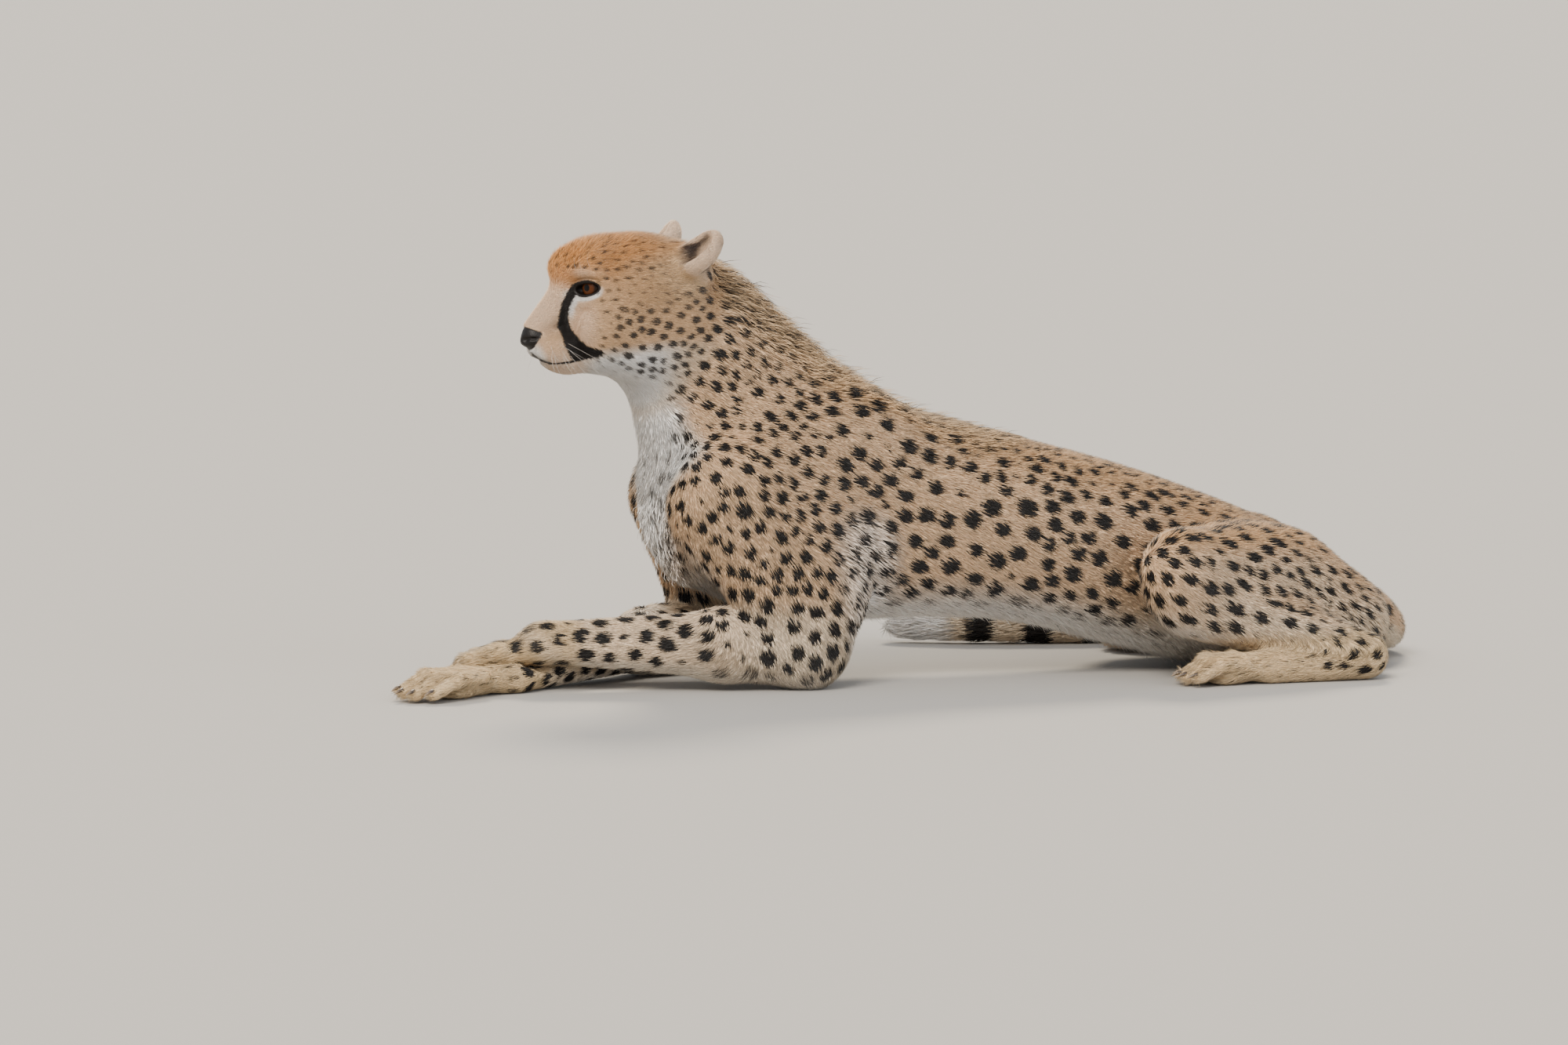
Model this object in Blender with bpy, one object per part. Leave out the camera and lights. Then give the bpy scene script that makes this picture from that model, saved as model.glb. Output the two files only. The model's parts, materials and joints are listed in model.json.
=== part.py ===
"""A cheetah lying on its elbows with its head up, as a still, life-size museum model.

The animal faces -X, its left side is towards -Y, and it rests on the plane Z = 0. Everything is in metres.

The body is one form. Each muscle, bone or fold is a simple mass (a ball, a tapered bone or a loft along an axis), and
the signed distance to all of them, blended where flesh is continuous, gives the outline of the coat. Each piece that a
person would name is worked out from that form as a closed mesh, thinned, and parted from its neighbours by thin cuts.
Eyes and claws are pieces of their own, let into the head and the toes.
"""

import math

import bmesh
import bpy
import numpy as np
from mathutils import Euler, Matrix, Vector

# ---------------------------------------------------------------- driving dimensions

HOME = Vector((-0.042, 0.0525, 0.0))  # the middle of the model's footprint, which becomes the origin
CUT = 0.0004  # the gap between neighbouring pieces
CLEARANCE = 0.0025  # the gap between the crossed forelegs
LOOSE = 1.5  # how far a piece is worked out beyond its cuts, in grid cells

EYE_RADIUS = 0.0155
SOCKET_GAP = 0.0003
CLAW_LENGTH = 0.0125
CLAW_RADIUS = 0.0026
FOREPAW_WIDTH = 0.066
HIND_PAW_WIDTH = 0.058
TOE_RADIUS = 0.0105

LEFT, RIGHT = -1, 1  # the side of the body, as the sign of Y
SIDE_NAMES = {LEFT: "left", RIGHT: "right"}

COAT = "#C6A377"  # sandy buff
PALE_COAT = "#D8C3A0"  # the paws
EAR_COAT = "#5B4533"  # dark brown
EYE = "#7A4310"  # amber
HORN = "#2E2622"  # claws

# The joints that set the pose. The left foreleg crosses over the right one.
WITHERS = Vector((-0.095, 0.048, 0.254))
SHOULDER = {LEFT: Vector((-0.258, -0.086, 0.195)), RIGHT: Vector((-0.268, 0.084, 0.190))}
ELBOW = {LEFT: Vector((-0.180, -0.112, 0.040)), RIGHT: Vector((-0.235, 0.100, 0.040))}
WRIST = {LEFT: Vector((-0.452, -0.072, 0.052)), RIGHT: Vector((-0.490, -0.075, 0.0165))}
FORE_TOES = {LEFT: Vector((-0.568, -0.036, 0.0040)), RIGHT: Vector((-0.628, -0.158, 0.0085))}
HIP = Vector((0.362, 0.070, 0.100))
KNEE = Vector((0.240, 0.130, 0.118))
HOCK = Vector((0.436, 0.152, 0.022))
HIND_TOES = Vector((0.218, 0.170, 0.0085))

# The head's own frame: X towards the nose, Y towards the animal's left, Z up, turned a little to the left.
HEAD_PLACE = Vector((-0.361, -0.004, 0.399))
HEAD_TURN = math.radians(6)


# ---------------------------------------------------------------- masses and their distances


class Mass:
    """One mass of flesh: a distance function, the ball that holds it, and how softly it blends into the rest."""

    def __init__(self, distance, centre, reach, blend, carve=False):
        self.distance = distance
        self.centre = np.array(centre, float)
        self.reach = reach
        self.blend = blend
        self.carve = carve


def ball(centre, radii, turn=(0, 0, 0), blend=0.02, carve=False):
    """An ellipsoid with three half-lengths, turned by angles in degrees about X, Y and Z."""
    middle = np.array(centre, float)
    half = np.array(radii, float)
    rotation = np.array(Euler([math.radians(angle) for angle in turn]).to_matrix())

    def distance(points):
        local = (points - middle) @ rotation
        scaled = np.linalg.norm(local / half, axis=1)
        slope = np.linalg.norm(local / half**2, axis=1)
        return scaled * (scaled - 1) / np.maximum(slope, 1e-9)

    return Mass(distance, middle, max(radii), blend, carve)


def bone(start, end, start_radius, end_radius, flat=1.0, across=(0, 1, 0), blend=0.02, carve=False):
    """A tapered bone with its flesh: a round cone, squeezed by the factor flat in the direction across."""
    first, last = np.array(start, float), np.array(end, float)
    squeeze = np.array(across, float) / np.linalg.norm(across)

    def stretched(vectors):
        return vectors + np.outer(vectors @ squeeze, squeeze) * (1 / flat - 1)

    axis = stretched((last - first)[None])[0]

    def distance(points):
        local = stretched(points - first)
        along = np.clip(local @ axis / (axis @ axis), 0, 1)
        radius = start_radius + (end_radius - start_radius) * along
        away = np.linalg.norm(local - along[:, None] * axis, axis=1)
        return (away - radius) * (1 + flat) / 2

    reach = np.linalg.norm(last - first) / 2 + max(start_radius, end_radius)
    return Mass(distance, (first + last) / 2, reach, blend, carve)


def curve_through(places, values, at):
    """A smooth curve through values at places, with the slopes of its neighbours, read at the points at."""
    slopes = np.gradient(values, places)
    at = np.clip(at, places[0], places[-1])
    left = np.clip(np.searchsorted(places, at) - 1, 0, len(places) - 2)
    width = places[left + 1] - places[left]
    t = (at - places[left]) / width
    return (
        values[left] * (1 + 2 * t) * (1 - t) ** 2
        + values[left + 1] * (3 - 2 * t) * t**2
        + slopes[left] * width * t * (1 - t) ** 2
        - slopes[left + 1] * width * t**2 * (1 - t)
    )


def loft(origin, along, up, stations, squareness=2.2, blend=0.03, carve=False):
    """A profile carried along a straight axis. Each station gives its place on the axis, the half width, and how far
    the top and the bottom lie above the axis. Between stations those three run on smooth curves."""
    start = np.array(origin, float)
    along = np.array(along, float) / np.linalg.norm(along)
    up = np.array(up, float) - along * np.dot(up, along)
    up = up / np.linalg.norm(up)
    side = np.cross(along, up)
    table = np.array(stations, float)

    def distance(points):
        local = points - start
        place, height, lateral = local @ along, local @ up, local @ side
        inside = np.clip(place, table[0, 0], table[-1, 0])
        width, top, bottom = (curve_through(table[:, 0], table[:, k], inside) for k in (1, 2, 3))
        half = (top - bottom) / 2
        u = np.abs(lateral) / width + 1e-6
        v = np.abs(height - (top + bottom) / 2) / half + 1e-6
        ring = (u**squareness + v**squareness) ** (1 / squareness)
        slope = np.hypot(u ** (squareness - 1) / width, v ** (squareness - 1) / half) * ring ** (1 - squareness)
        away = (ring - 1) / slope
        past = np.abs(place - inside)
        return np.where(past > 0, np.hypot(np.maximum(away, 0), past), away)

    ends = table[[0, -1], 0]
    reach = np.ptp(ends) / 2 + np.abs(table[:, 1:]).max()
    return Mass(distance, start + along * ends.mean(), reach, blend, carve)


def joined(a, b, softness):
    """The smaller of two distances, rounded over where they are within softness of each other."""
    near = np.maximum(softness - np.abs(a - b), 0) / softness
    return np.minimum(a, b) - near * near * softness / 4


FAR = 0.05  # beyond this distance a mass is left out of the reckoning


def distance_to(masses, points):
    """The signed distance from each point to a list of masses, taken in order. Far points keep a large value."""
    found = np.full(len(points), 1.0)
    for mass in masses:
        margin = mass.reach + mass.blend + FAR
        near = np.flatnonzero(np.abs(points - mass.centre).max(axis=1) < margin)
        own = mass.distance(points[near])
        if mass.carve:
            found[near] = -joined(-found[near], own, mass.blend)
        else:
            found[near] = joined(found[near], own, mass.blend)
    return found


# ---------------------------------------------------------------- the animal's masses


def trunk_masses():
    """Ribcage, loin and rump as one loft, with the shoulder blades on it."""
    stations = (
        (-0.318, 0.022, 0.215, 0.155),
        (-0.302, 0.050, 0.245, 0.125),
        (-0.260, 0.078, 0.280, 0.095),
        (-0.190, 0.088, 0.302, 0.064),
        (-0.100, 0.094, 0.310, 0.058),
        (-0.010, 0.099, 0.283, 0.060),
        (0.090, 0.100, 0.256, 0.050),
        (0.180, 0.096, 0.231, 0.026),
        (0.270, 0.088, 0.200, 0.004),
        (0.350, 0.080, 0.166, -0.002),
        (0.420, 0.064, 0.122, -0.002),
        (0.465, 0.044, 0.082, 0.006),
        (0.490, 0.018, 0.056, 0.024),
    )
    masses = [loft((0, 0, 0), (1, 0, 0), (0, 0, 1), stations)]
    for side in (LEFT, RIGHT):
        masses.append(
            bone(
                WITHERS * Vector((1, side, 1)),
                SHOULDER[side] + Vector((0.02, 0, 0.012)),
                0.046,
                0.056,
                flat=0.62,
                blend=0.05,
            )
        )
    return masses


def neck_masses():
    """The neck, from the back of the skull down into the chest, with the nape's crest of longer hair."""
    stations = (
        (-0.040, 0.050, 0.080, -0.058),
        (0.020, 0.058, 0.109, -0.070),
        (0.080, 0.064, 0.115, -0.100),
        (0.150, 0.076, 0.122, -0.148),
        (0.210, 0.082, 0.122, -0.160),
        (0.270, 0.070, 0.095, -0.120),
    )
    return [loft((-0.315, 0, 0.385), (0.668, 0, -0.744), (0.744, 0, 0.668), stations, 2.0, blend=0.05)]


def paw_frame(wrist, toes):
    """A frame at the wrist, X towards the toes, Y sideways and level, Z up."""
    ahead = (toes - wrist).normalized()
    sideways = Vector((0, 0, 1)).cross(ahead).normalized()
    turn = Matrix((ahead, sideways, ahead.cross(sideways))).transposed()
    return Matrix.Translation(wrist) @ turn.to_4x4()


def toes_of(wrist, toes, width):
    """The four toes of a paw, side by side: each one's knuckle, joint and tip. The outer two are the shorter ones."""
    frame = paw_frame(wrist, toes)
    length = (toes - wrist).length
    for place in (-1.5, -0.5, 0.5, 1.5):
        spread = place * width / 4
        short = abs(place) * 0.07 * length
        knuckle = frame @ Vector((length * 0.38 - short * 0.5, spread * 0.8, TOE_RADIUS * 0.9))
        joint = frame @ Vector((length * 0.70 - short, spread, TOE_RADIUS * 1.05))
        tip = frame @ Vector((length * 0.90 - short, spread * 1.08, 0.0))
        yield knuckle, joint, tip


def paw_masses(wrist, toes, width):
    """A paw: the flat hand behind the toes, four toes and their pads."""
    frame = paw_frame(wrist, toes)
    length = (toes - wrist).length
    upright = frame.to_3x3() @ Vector((0, 0, 1))
    thick = TOE_RADIUS * 2
    masses = [
        bone(wrist, frame @ Vector((length * 0.45, 0, 0.002)), thick, thick * 1.12, 0.72, upright, 0.014),
        ball(frame @ Vector((length * 0.52, 0, -0.004)), (width * 0.36, width * 0.36, thick * 0.55), blend=0.012),
    ]
    for knuckle, joint, tip in toes_of(wrist, toes, width):
        masses.append(bone(knuckle, joint, TOE_RADIUS * 0.95, TOE_RADIUS, blend=0.008))
        masses.append(bone(joint, tip, TOE_RADIUS * 1.02, TOE_RADIUS * 0.90, blend=0.006))
    return masses


def upper_foreleg_masses(side):
    """The upper arm with its triceps, down to the elbow."""
    shoulder, elbow = SHOULDER[side], ELBOW[side]
    triceps = shoulder.lerp(elbow, 0.52) + Vector((0.050, -0.006 * side, 0.012))
    return [
        bone(shoulder, elbow + Vector((0, 0, 0.015)), 0.062, 0.040, flat=0.72, blend=0.035),
        ball(triceps, (0.064, 0.036, 0.088), turn=(0, -22, 0), blend=0.04),
        ball(elbow + Vector((0.014, 0, 0.002)), (0.037, 0.033, 0.042), blend=0.03),
    ]


def lower_foreleg_masses(side):
    """The forearm, wrist and paw."""
    elbow, wrist, toes = ELBOW[side], WRIST[side], FORE_TOES[side]
    belly = elbow.lerp(wrist, 0.30) + Vector((0, 0, 0.005))
    thin = 0.80 if side == RIGHT else 0.95
    return [
        bone(elbow, belly, 0.040, 0.040, blend=0.02),
        bone(belly, wrist, 0.040, 0.0250, flat=thin, across=(0, 0, 1), blend=0.02),
        ball(wrist, (0.028, 0.026, 0.022 * thin), blend=0.012),
        *paw_masses(wrist, toes, FOREPAW_WIDTH),
    ]


def hindleg_masses(side):
    """Haunch, thigh, folded shank, and the long foot flat on the floor."""
    flip = Vector((1, side, 1))
    hip, knee, hock, toes = (joint * flip for joint in (HIP, KNEE, HOCK, HIND_TOES))
    instep = hock.lerp(toes, 0.5)
    return [
        ball((0.336, side * 0.078, 0.084), (0.124, 0.064, 0.075), turn=(0, 14, -side * 12), blend=0.035),
        ball((0.412, side * 0.066, 0.054), (0.074, 0.058, 0.057), blend=0.03),
        bone(hip, knee, 0.056, 0.045, flat=0.85, blend=0.03),
        ball(knee + Vector((-0.002, 0, -0.004)), (0.044, 0.036, 0.050), turn=(0, -20, 0), blend=0.025),
        bone(knee + Vector((0.01, 0, -0.03)), hock + Vector((0, 0, 0.008)), 0.044, 0.024, flat=0.8, blend=0.022),
        bone(hock, instep, 0.0235, 0.0205, blend=0.014),
        *paw_masses(instep + Vector((0, 0, 0.004)), toes, HIND_PAW_WIDTH),
    ]


TAIL_PATH = (
    (0.440, 0.000, 0.080),
    (0.488, 0.018, 0.052),
    (0.518, 0.075, 0.027),
    (0.505, 0.150, 0.0215),
    (0.435, 0.212, 0.0215),
    (0.330, 0.238, 0.0215),
    (0.215, 0.246, 0.0215),
    (0.100, 0.262, 0.0215),
    (0.020, 0.288, 0.0185),
)
TAIL_RADII = (0.030, 0.024, 0.0225, 0.0235, 0.0175)  # at even steps from the root to the tip
TAIL_STEPS = 24
TAIL_PARTS = {"tail_base": (2, 10), "tail_middle": (10, 17), "tail_tip": (17, 24)}  # the steps that each length spans


def tail_stations():
    """Places along the tail at even steps of its path, with the radius at each."""
    path = np.array(TAIL_PATH)
    at = np.linspace(0, len(path) - 1, TAIL_STEPS + 1)
    places = np.stack([curve_through(np.arange(len(path)), path[:, k], at) for k in range(3)], axis=1)
    at = np.linspace(0, len(TAIL_RADII) - 1, TAIL_STEPS + 1)
    return places, curve_through(np.arange(len(TAIL_RADII)), np.array(TAIL_RADII), at)


def tail_masses(first, last):
    """The tail between two steps of its path. It lies on the floor in a curve round the right haunch."""
    places, radii = tail_stations()
    steps = range(max(first, 0), min(last, TAIL_STEPS))
    return [bone(places[i], places[i + 1], radii[i], radii[i + 1], blend=0.03 if i == 0 else 0.004) for i in steps]


def head_masses():
    """Skull, muzzle, jaw and brow, in the head's frame. Both sides are one, because the frame's Y is folded over."""
    skull = (
        (-0.108, 0.024, 0.040, -0.010),
        (-0.085, 0.050, 0.070, -0.040),
        (-0.055, 0.062, 0.085, -0.055),
        (-0.020, 0.066, 0.089, -0.060),
        (0.008, 0.061, 0.086, -0.061),
        (0.028, 0.048, 0.078, -0.060),
        (0.045, 0.032, 0.064, -0.058),
        (0.059, 0.022, 0.042, -0.050),
    )
    return [
        loft((0, 0, 0), (1, 0, 0), (0, 0, 1), skull, 2.1, blend=0.02),
        ball((0.0435, 0.0, 0.0510), (0.0335, 0.0270, 0.0290), blend=0.014),
        ball((0.0320, 0.0230, 0.0560), (0.0260, 0.0230, 0.0220), blend=0.015),
        ball((0.0190, 0.0000, 0.0660), (0.0320, 0.0340, 0.0212), blend=0.012),
        bone((0.050, 0.016, 0.044), (0.032, 0.040, 0.045), 0.0085, 0.0075, blend=0.014),
        bone((0.059, 0.0, 0.018), (0.087, 0.0, -0.0165), 0.0185, 0.0160, flat=0.9, blend=0.014),
        ball((0.010, 0.038, -0.014), (0.044, 0.030, 0.042), blend=0.025),
        ball((0.034, 0.036, -0.008), (0.026, 0.017, 0.018), blend=0.015),
        ball((0.067, 0.0165, -0.0345), (0.0265, 0.0190, 0.0195), turn=(0, 10, -8), blend=0.008),
        ball((0.0805, 0.0, -0.0385), (0.0160, 0.0130, 0.0130), blend=0.006),
        ball((0.060, 0.0, -0.051), (0.0205, 0.019, 0.0125), blend=0.009),
        bone((0.050, 0.010, -0.048), (-0.015, 0.036, -0.040), 0.013, 0.024, blend=0.02),
        ball((0.0918, 0.0, -0.0250), (0.0152, 0.0150, 0.0110), turn=(0, 22, 0), blend=0.006),
        ball((0.0545, 0.0400, 0.0270), (0.0200, 0.0135, 0.0130), turn=(0, 10, -38), blend=0.012, carve=True),
        ball((0.069, 0.032, 0.002), (0.018, 0.010, 0.022), turn=(0, 0, -20), blend=0.014, carve=True),
    ]


EYE_PLACE = Vector((0.0282, 0.0255, 0.0290))  # the middle of the eyeball
EYE_LOOK = Vector((0.85, 0.52, 0.06)).normalized()
LID_REACH = 0.0022  # how far the lids stand over the eyeball


def lid_masses():
    """The lids: a shell over the eyeball, open along an almond slit that looks forwards and outwards."""
    look = EYE_LOOK
    upward = (Vector((0, 0, 1)) - look * look.z).normalized()
    wide = look.cross(upward)
    angles = Matrix((look, wide, upward)).transposed().to_euler()
    turn = [math.degrees(angle) + tilt for angle, tilt in zip(angles, (8, 0, 0), strict=True)]
    shell = EYE_RADIUS + LID_REACH
    return [
        ball(EYE_PLACE, (shell, shell, shell), blend=0.006),
        ball(
            EYE_PLACE + look * EYE_RADIUS * 0.95 - upward * 0.0012,
            (0.0085, 0.0142, 0.0054),
            turn=turn,
            blend=0.002,
            carve=True,
        ),
    ]


EAR_BASE = Vector((-0.062, 0.051, 0.052))
EAR_TIP = Vector((-0.092, 0.085, 0.086))
EAR_FACING = Vector((0.45, 0.40, 0.80))
EAR_BLOCK = 0.066


def ear_masses():
    """A round ear: a deep cup that is laid back and opens upwards, forwards and a little outwards."""
    rise = (EAR_TIP - EAR_BASE).normalized()
    facing = (EAR_FACING - rise * EAR_FACING.dot(rise)).normalized()
    wide = rise.cross(facing)
    angles = Matrix((facing, wide, rise)).transposed().to_euler()
    turn = [math.degrees(angle) for angle in angles]
    middle = EAR_BASE.lerp(EAR_TIP, 0.44)
    hollow = middle + facing * 0.0135 + rise * 0.004
    return [
        ball(middle, (0.0170, 0.0240, 0.0330), turn=turn, blend=0.010),
        ball(hollow, (0.0160, 0.0172, 0.0250), turn=turn, blend=0.004, carve=True),
    ]


def head_matrix():
    """From the head's frame to the animal's: forward is -X turned to the left, and left is -Y."""
    ahead = Vector((-math.cos(HEAD_TURN), -math.sin(HEAD_TURN), 0))
    left = Vector((0, 0, 1)).cross(ahead)
    turn = Matrix((ahead, left, Vector((0, 0, 1)))).transposed()
    return Matrix.Translation(HEAD_PLACE) @ turn.to_4x4()


def into_head(points):
    """Points in the head's frame, with its right half folded onto the left."""
    inverse = np.array(head_matrix().inverted())
    local = points @ inverse[:3, :3].T + inverse[:3, 3]
    local[:, 1] = np.abs(local[:, 1])
    return local


HEAD_BLEND = 0.035
HEAD_REACH = 0.20
ELBOW_REACH = 0.12  # how far from the elbow the forearm still blends into the upper arm


def body_form(points):
    """The signed distance to the coat of the trunk, neck, head, upper legs, hind feet and the root of the tail."""
    body = [*trunk_masses(), *neck_masses(), *tail_masses(0, 3)]
    for side in (LEFT, RIGHT):
        body += upper_foreleg_masses(side) + hindleg_masses(side)
    found = distance_to(body, points)
    near = np.flatnonzero(np.linalg.norm(points - np.array(HEAD_PLACE), axis=1) < HEAD_REACH)
    head = distance_to(head_masses() + lid_masses() + ear_masses(), into_head(points[near]))
    found[near] = joined(found[near], head, HEAD_BLEND)
    return found


def left_foreleg_form(points):
    return distance_to(lower_foreleg_masses(LEFT), points)


def right_foreleg_form(points):
    """The right forearm and paw, pressed in where the left foreleg lies over them."""
    leg = distance_to(lower_foreleg_masses(RIGHT), points)
    return np.maximum(leg, CLEARANCE - left_foreleg_form(points))


def elbow_blend(side, points):
    """How softly a forearm blends into the body: fully at the elbow, and hardly at all beyond ELBOW_REACH."""
    away = np.linalg.norm(points - np.array(ELBOW[side]), axis=1)
    return 0.022 * np.clip(1 - away / ELBOW_REACH, 0.02, 1)


def torso_form(points):
    """The body with both elbows, for the pieces that end at the forearm's cut."""
    found = body_form(points)
    for side, leg in ((LEFT, left_foreleg_form), (RIGHT, right_foreleg_form)):
        beyond = ELBOW_CUT[side].distance(points) - 0.012
        found = joined(found, np.maximum(leg(points), beyond), elbow_blend(side, points))
    return found


# ---------------------------------------------------------------- cuts


class Plane:
    """A cut along a plane. The inside of the cut lies behind the plane, against its normal."""

    def __init__(self, name, point, normal):
        self.name = name
        self.point = Vector(point)
        self.normal = Vector(normal).normalized()

    def distance(self, points):
        return (points - np.array(self.point)) @ np.array(self.normal)

    def solid(self, name, grow):
        """A block with its front face on the plane, moved out by grow."""
        size = 1.6
        mesh = bpy.data.meshes.new(name)
        block = bmesh.new()
        bmesh.ops.create_cube(block, size=size)
        block.to_mesh(mesh)
        block.free()
        cutter = bpy.data.objects.new(name, mesh)
        cutter.rotation_mode = "QUATERNION"
        cutter.rotation_quaternion = self.normal.to_track_quat("Z", "Y")
        cutter.location = self.point - self.normal * (size / 2 - grow)
        return cutter


class Prism:
    """A cut along a prism that runs outwards from a depth beside the middle plane. The outline is a convex polygon of
    (x, z) corners, anticlockwise for someone who looks along +Y, and side tells on which side it lies."""

    def __init__(self, name, outline, side, depth):
        self.name = name
        self.outline = np.array(outline, float)
        self.side = side
        self.depth = depth

    def edges(self):
        """Each edge's start and its outward normal."""
        run = np.roll(self.outline, -1, axis=0) - self.outline
        normals = np.stack([run[:, 1], -run[:, 0]], axis=1)
        return self.outline, normals / np.linalg.norm(normals, axis=1, keepdims=True)

    def distance(self, points):
        flat = points[:, [0, 2]]
        found = self.depth - self.side * points[:, 1]
        for start, normal in zip(*self.edges(), strict=True):
            found = np.maximum(found, (flat - start) @ normal)
        return found

    def solid(self, name, grow):
        """The prism with every face moved out by grow."""
        starts, normals = self.edges()
        corners = []
        for i in range(len(starts)):
            pair = np.array([normals[i - 1], normals[i]])
            corners.append(starts[i] + np.linalg.solve(pair, [grow, grow]))
        near, far = self.side * (self.depth - grow), self.side * 0.5
        count = len(corners)
        points = [(x, near, z) for x, z in corners] + [(x, far, z) for x, z in corners]
        faces = [tuple(range(count)), tuple(range(2 * count - 1, count - 1, -1))]
        faces += [(i, i + count, (i + 1) % count + count, (i + 1) % count) for i in range(count)]
        if self.side < 0:
            faces = [face[::-1] for face in faces]
        mesh = bpy.data.meshes.new(name)
        mesh.from_pydata(points, [], faces)
        return bpy.data.objects.new(name, mesh)


class Block:
    """A cut along a cube about a middle, with one of its axes along a direction."""

    def __init__(self, name, middle, along, size):
        self.name = name
        self.middle = Vector(middle)
        self.turn = Vector(along).to_track_quat("Z", "Y")
        self.size = size

    def distance(self, points):
        local = (points - np.array(self.middle)) @ np.array(self.turn.to_matrix())
        return np.abs(local).max(axis=1) - self.size / 2

    def solid(self, name, grow):
        mesh = bpy.data.meshes.new(name)
        block = bmesh.new()
        bmesh.ops.create_cube(block, size=self.size + 2 * grow)
        block.to_mesh(mesh)
        block.free()
        cutter = bpy.data.objects.new(name, mesh)
        cutter.rotation_mode = "QUATERNION"
        cutter.rotation_quaternion = self.turn
        cutter.location = self.middle
        return cutter


def cut_across(name, start, end, share):
    """A plane across a limb, at a share of the way from start to end, facing away from start."""
    return Plane(name, start.lerp(end, share), end - start)


SHOULDER_OUTLINE = (
    (-0.355, -0.030),
    (-0.100, -0.030),
    (-0.082, 0.100),
    (-0.100, 0.215),
    (-0.165, 0.258),
    (-0.265, 0.256),
    (-0.350, 0.205),
)
HAUNCH_OUTLINE = (
    (0.165, -0.030),
    (0.475, -0.030),
    (0.505, 0.050),
    (0.455, 0.140),
    (0.355, 0.190),
    (0.235, 0.200),
    (0.165, 0.150),
)
FOOT_OUTLINE = ((0.120, -0.030), (0.405, -0.030), (0.405, 0.045), (0.120, 0.045))

FLOOR = Plane("floor", (0, 0, 0), (0, 0, -1))
HEAD_CUT = Plane("head_cut", (-0.295, 0, 0.363), (0.668, 0, -0.744))
NECK_CUT = Plane("neck_cut", (-0.215, 0, 0.275), (0.55, 0, -0.835))
ELBOW_CUT = {
    LEFT: cut_across("elbow_cut_left", ELBOW[LEFT], WRIST[LEFT], 0.24),
    RIGHT: cut_across("elbow_cut_right", ELBOW[RIGHT], WRIST[RIGHT], 0.10),
}
WRIST_CUT = {side: cut_across(f"wrist_cut_{SIDE_NAMES[side]}", ELBOW[side], WRIST[side], 0.93) for side in SIDE_NAMES}
SHOULDER_CUT = {
    LEFT: Prism("shoulder_cut_left", SHOULDER_OUTLINE, LEFT, 0.056),
    RIGHT: Prism("shoulder_cut_right", SHOULDER_OUTLINE, RIGHT, 0.036),
}
HAUNCH_CUT = {side: Prism(f"haunch_cut_{SIDE_NAMES[side]}", HAUNCH_OUTLINE, side, 0.062) for side in SIDE_NAMES}
FOOT_CUT = {side: Prism(f"foot_cut_{SIDE_NAMES[side]}", FOOT_OUTLINE, side, 0.112) for side in SIDE_NAMES}


def tail_cut(step):
    """A plane across the tail at a step of its path, facing the tip."""
    places, _ = tail_stations()
    return Plane(f"tail_cut_{step}", places[step], places[step + 1] - places[step - 1])


def ear_cut(side):
    """A block that holds an ear from just above its root, with its far half outside the head."""
    flip = Vector((1, -side, 1))
    matrix = head_matrix()
    root = matrix @ (EAR_BASE.lerp(EAR_TIP, 0.17) * flip)
    rise = (matrix.to_3x3() @ ((EAR_TIP - EAR_BASE) * flip)).normalized()
    return Block(f"ear_cut_{SIDE_NAMES[side]}", root + rise * EAR_BLOCK / 2, rise, EAR_BLOCK)


# ---------------------------------------------------------------- from the form to a mesh


def values_on_grid(distance, low, counts, cell, levels):
    """The distance at each point of a grid. It is worked out on a grid twice as coarse first, and then again only at
    the points that lie near the surface, so far points keep the coarse value."""
    if levels == 0:
        near = np.full(counts, True)
        values = np.zeros(counts)
    else:
        coarse = values_on_grid(distance, low, [count // 2 + 1 for count in counts], cell * 2, levels - 1)
        for axis in range(3):
            coarse = np.repeat(coarse, 2, axis=axis)
        values = coarse[: counts[0], : counts[1], : counts[2]].copy()
        near = np.abs(values) < cell * 6
    places = np.argwhere(near)
    values[near] = distance(places * cell + np.array(low))
    return values


def without_pinches(values):
    """Fills in the places where the form meets itself only along a grid edge: a face of the grid whose two diagonals
    lie on opposite sides of the surface would give four surface quads one common edge."""
    pinched = True
    while pinched:
        pinched = False
        for u, v in ((0, 1), (0, 2), (1, 2)):
            corners = []
            for i in (0, 1):
                for j in (0, 1):
                    part = [slice(None)] * 3
                    part[u] = slice(i, values.shape[u] - 1 + i)
                    part[v] = slice(j, values.shape[v] - 1 + j)
                    corners.append(values[tuple(part)])
            a, b, c, d = (corner < 0 for corner in corners)
            crossed = (a == d) & (b == c) & (a != b)
            if crossed.any():
                pinched = True
                for corner in corners:
                    corner[crossed] = -np.abs(corner[crossed]) - 1e-6
    return values


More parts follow.
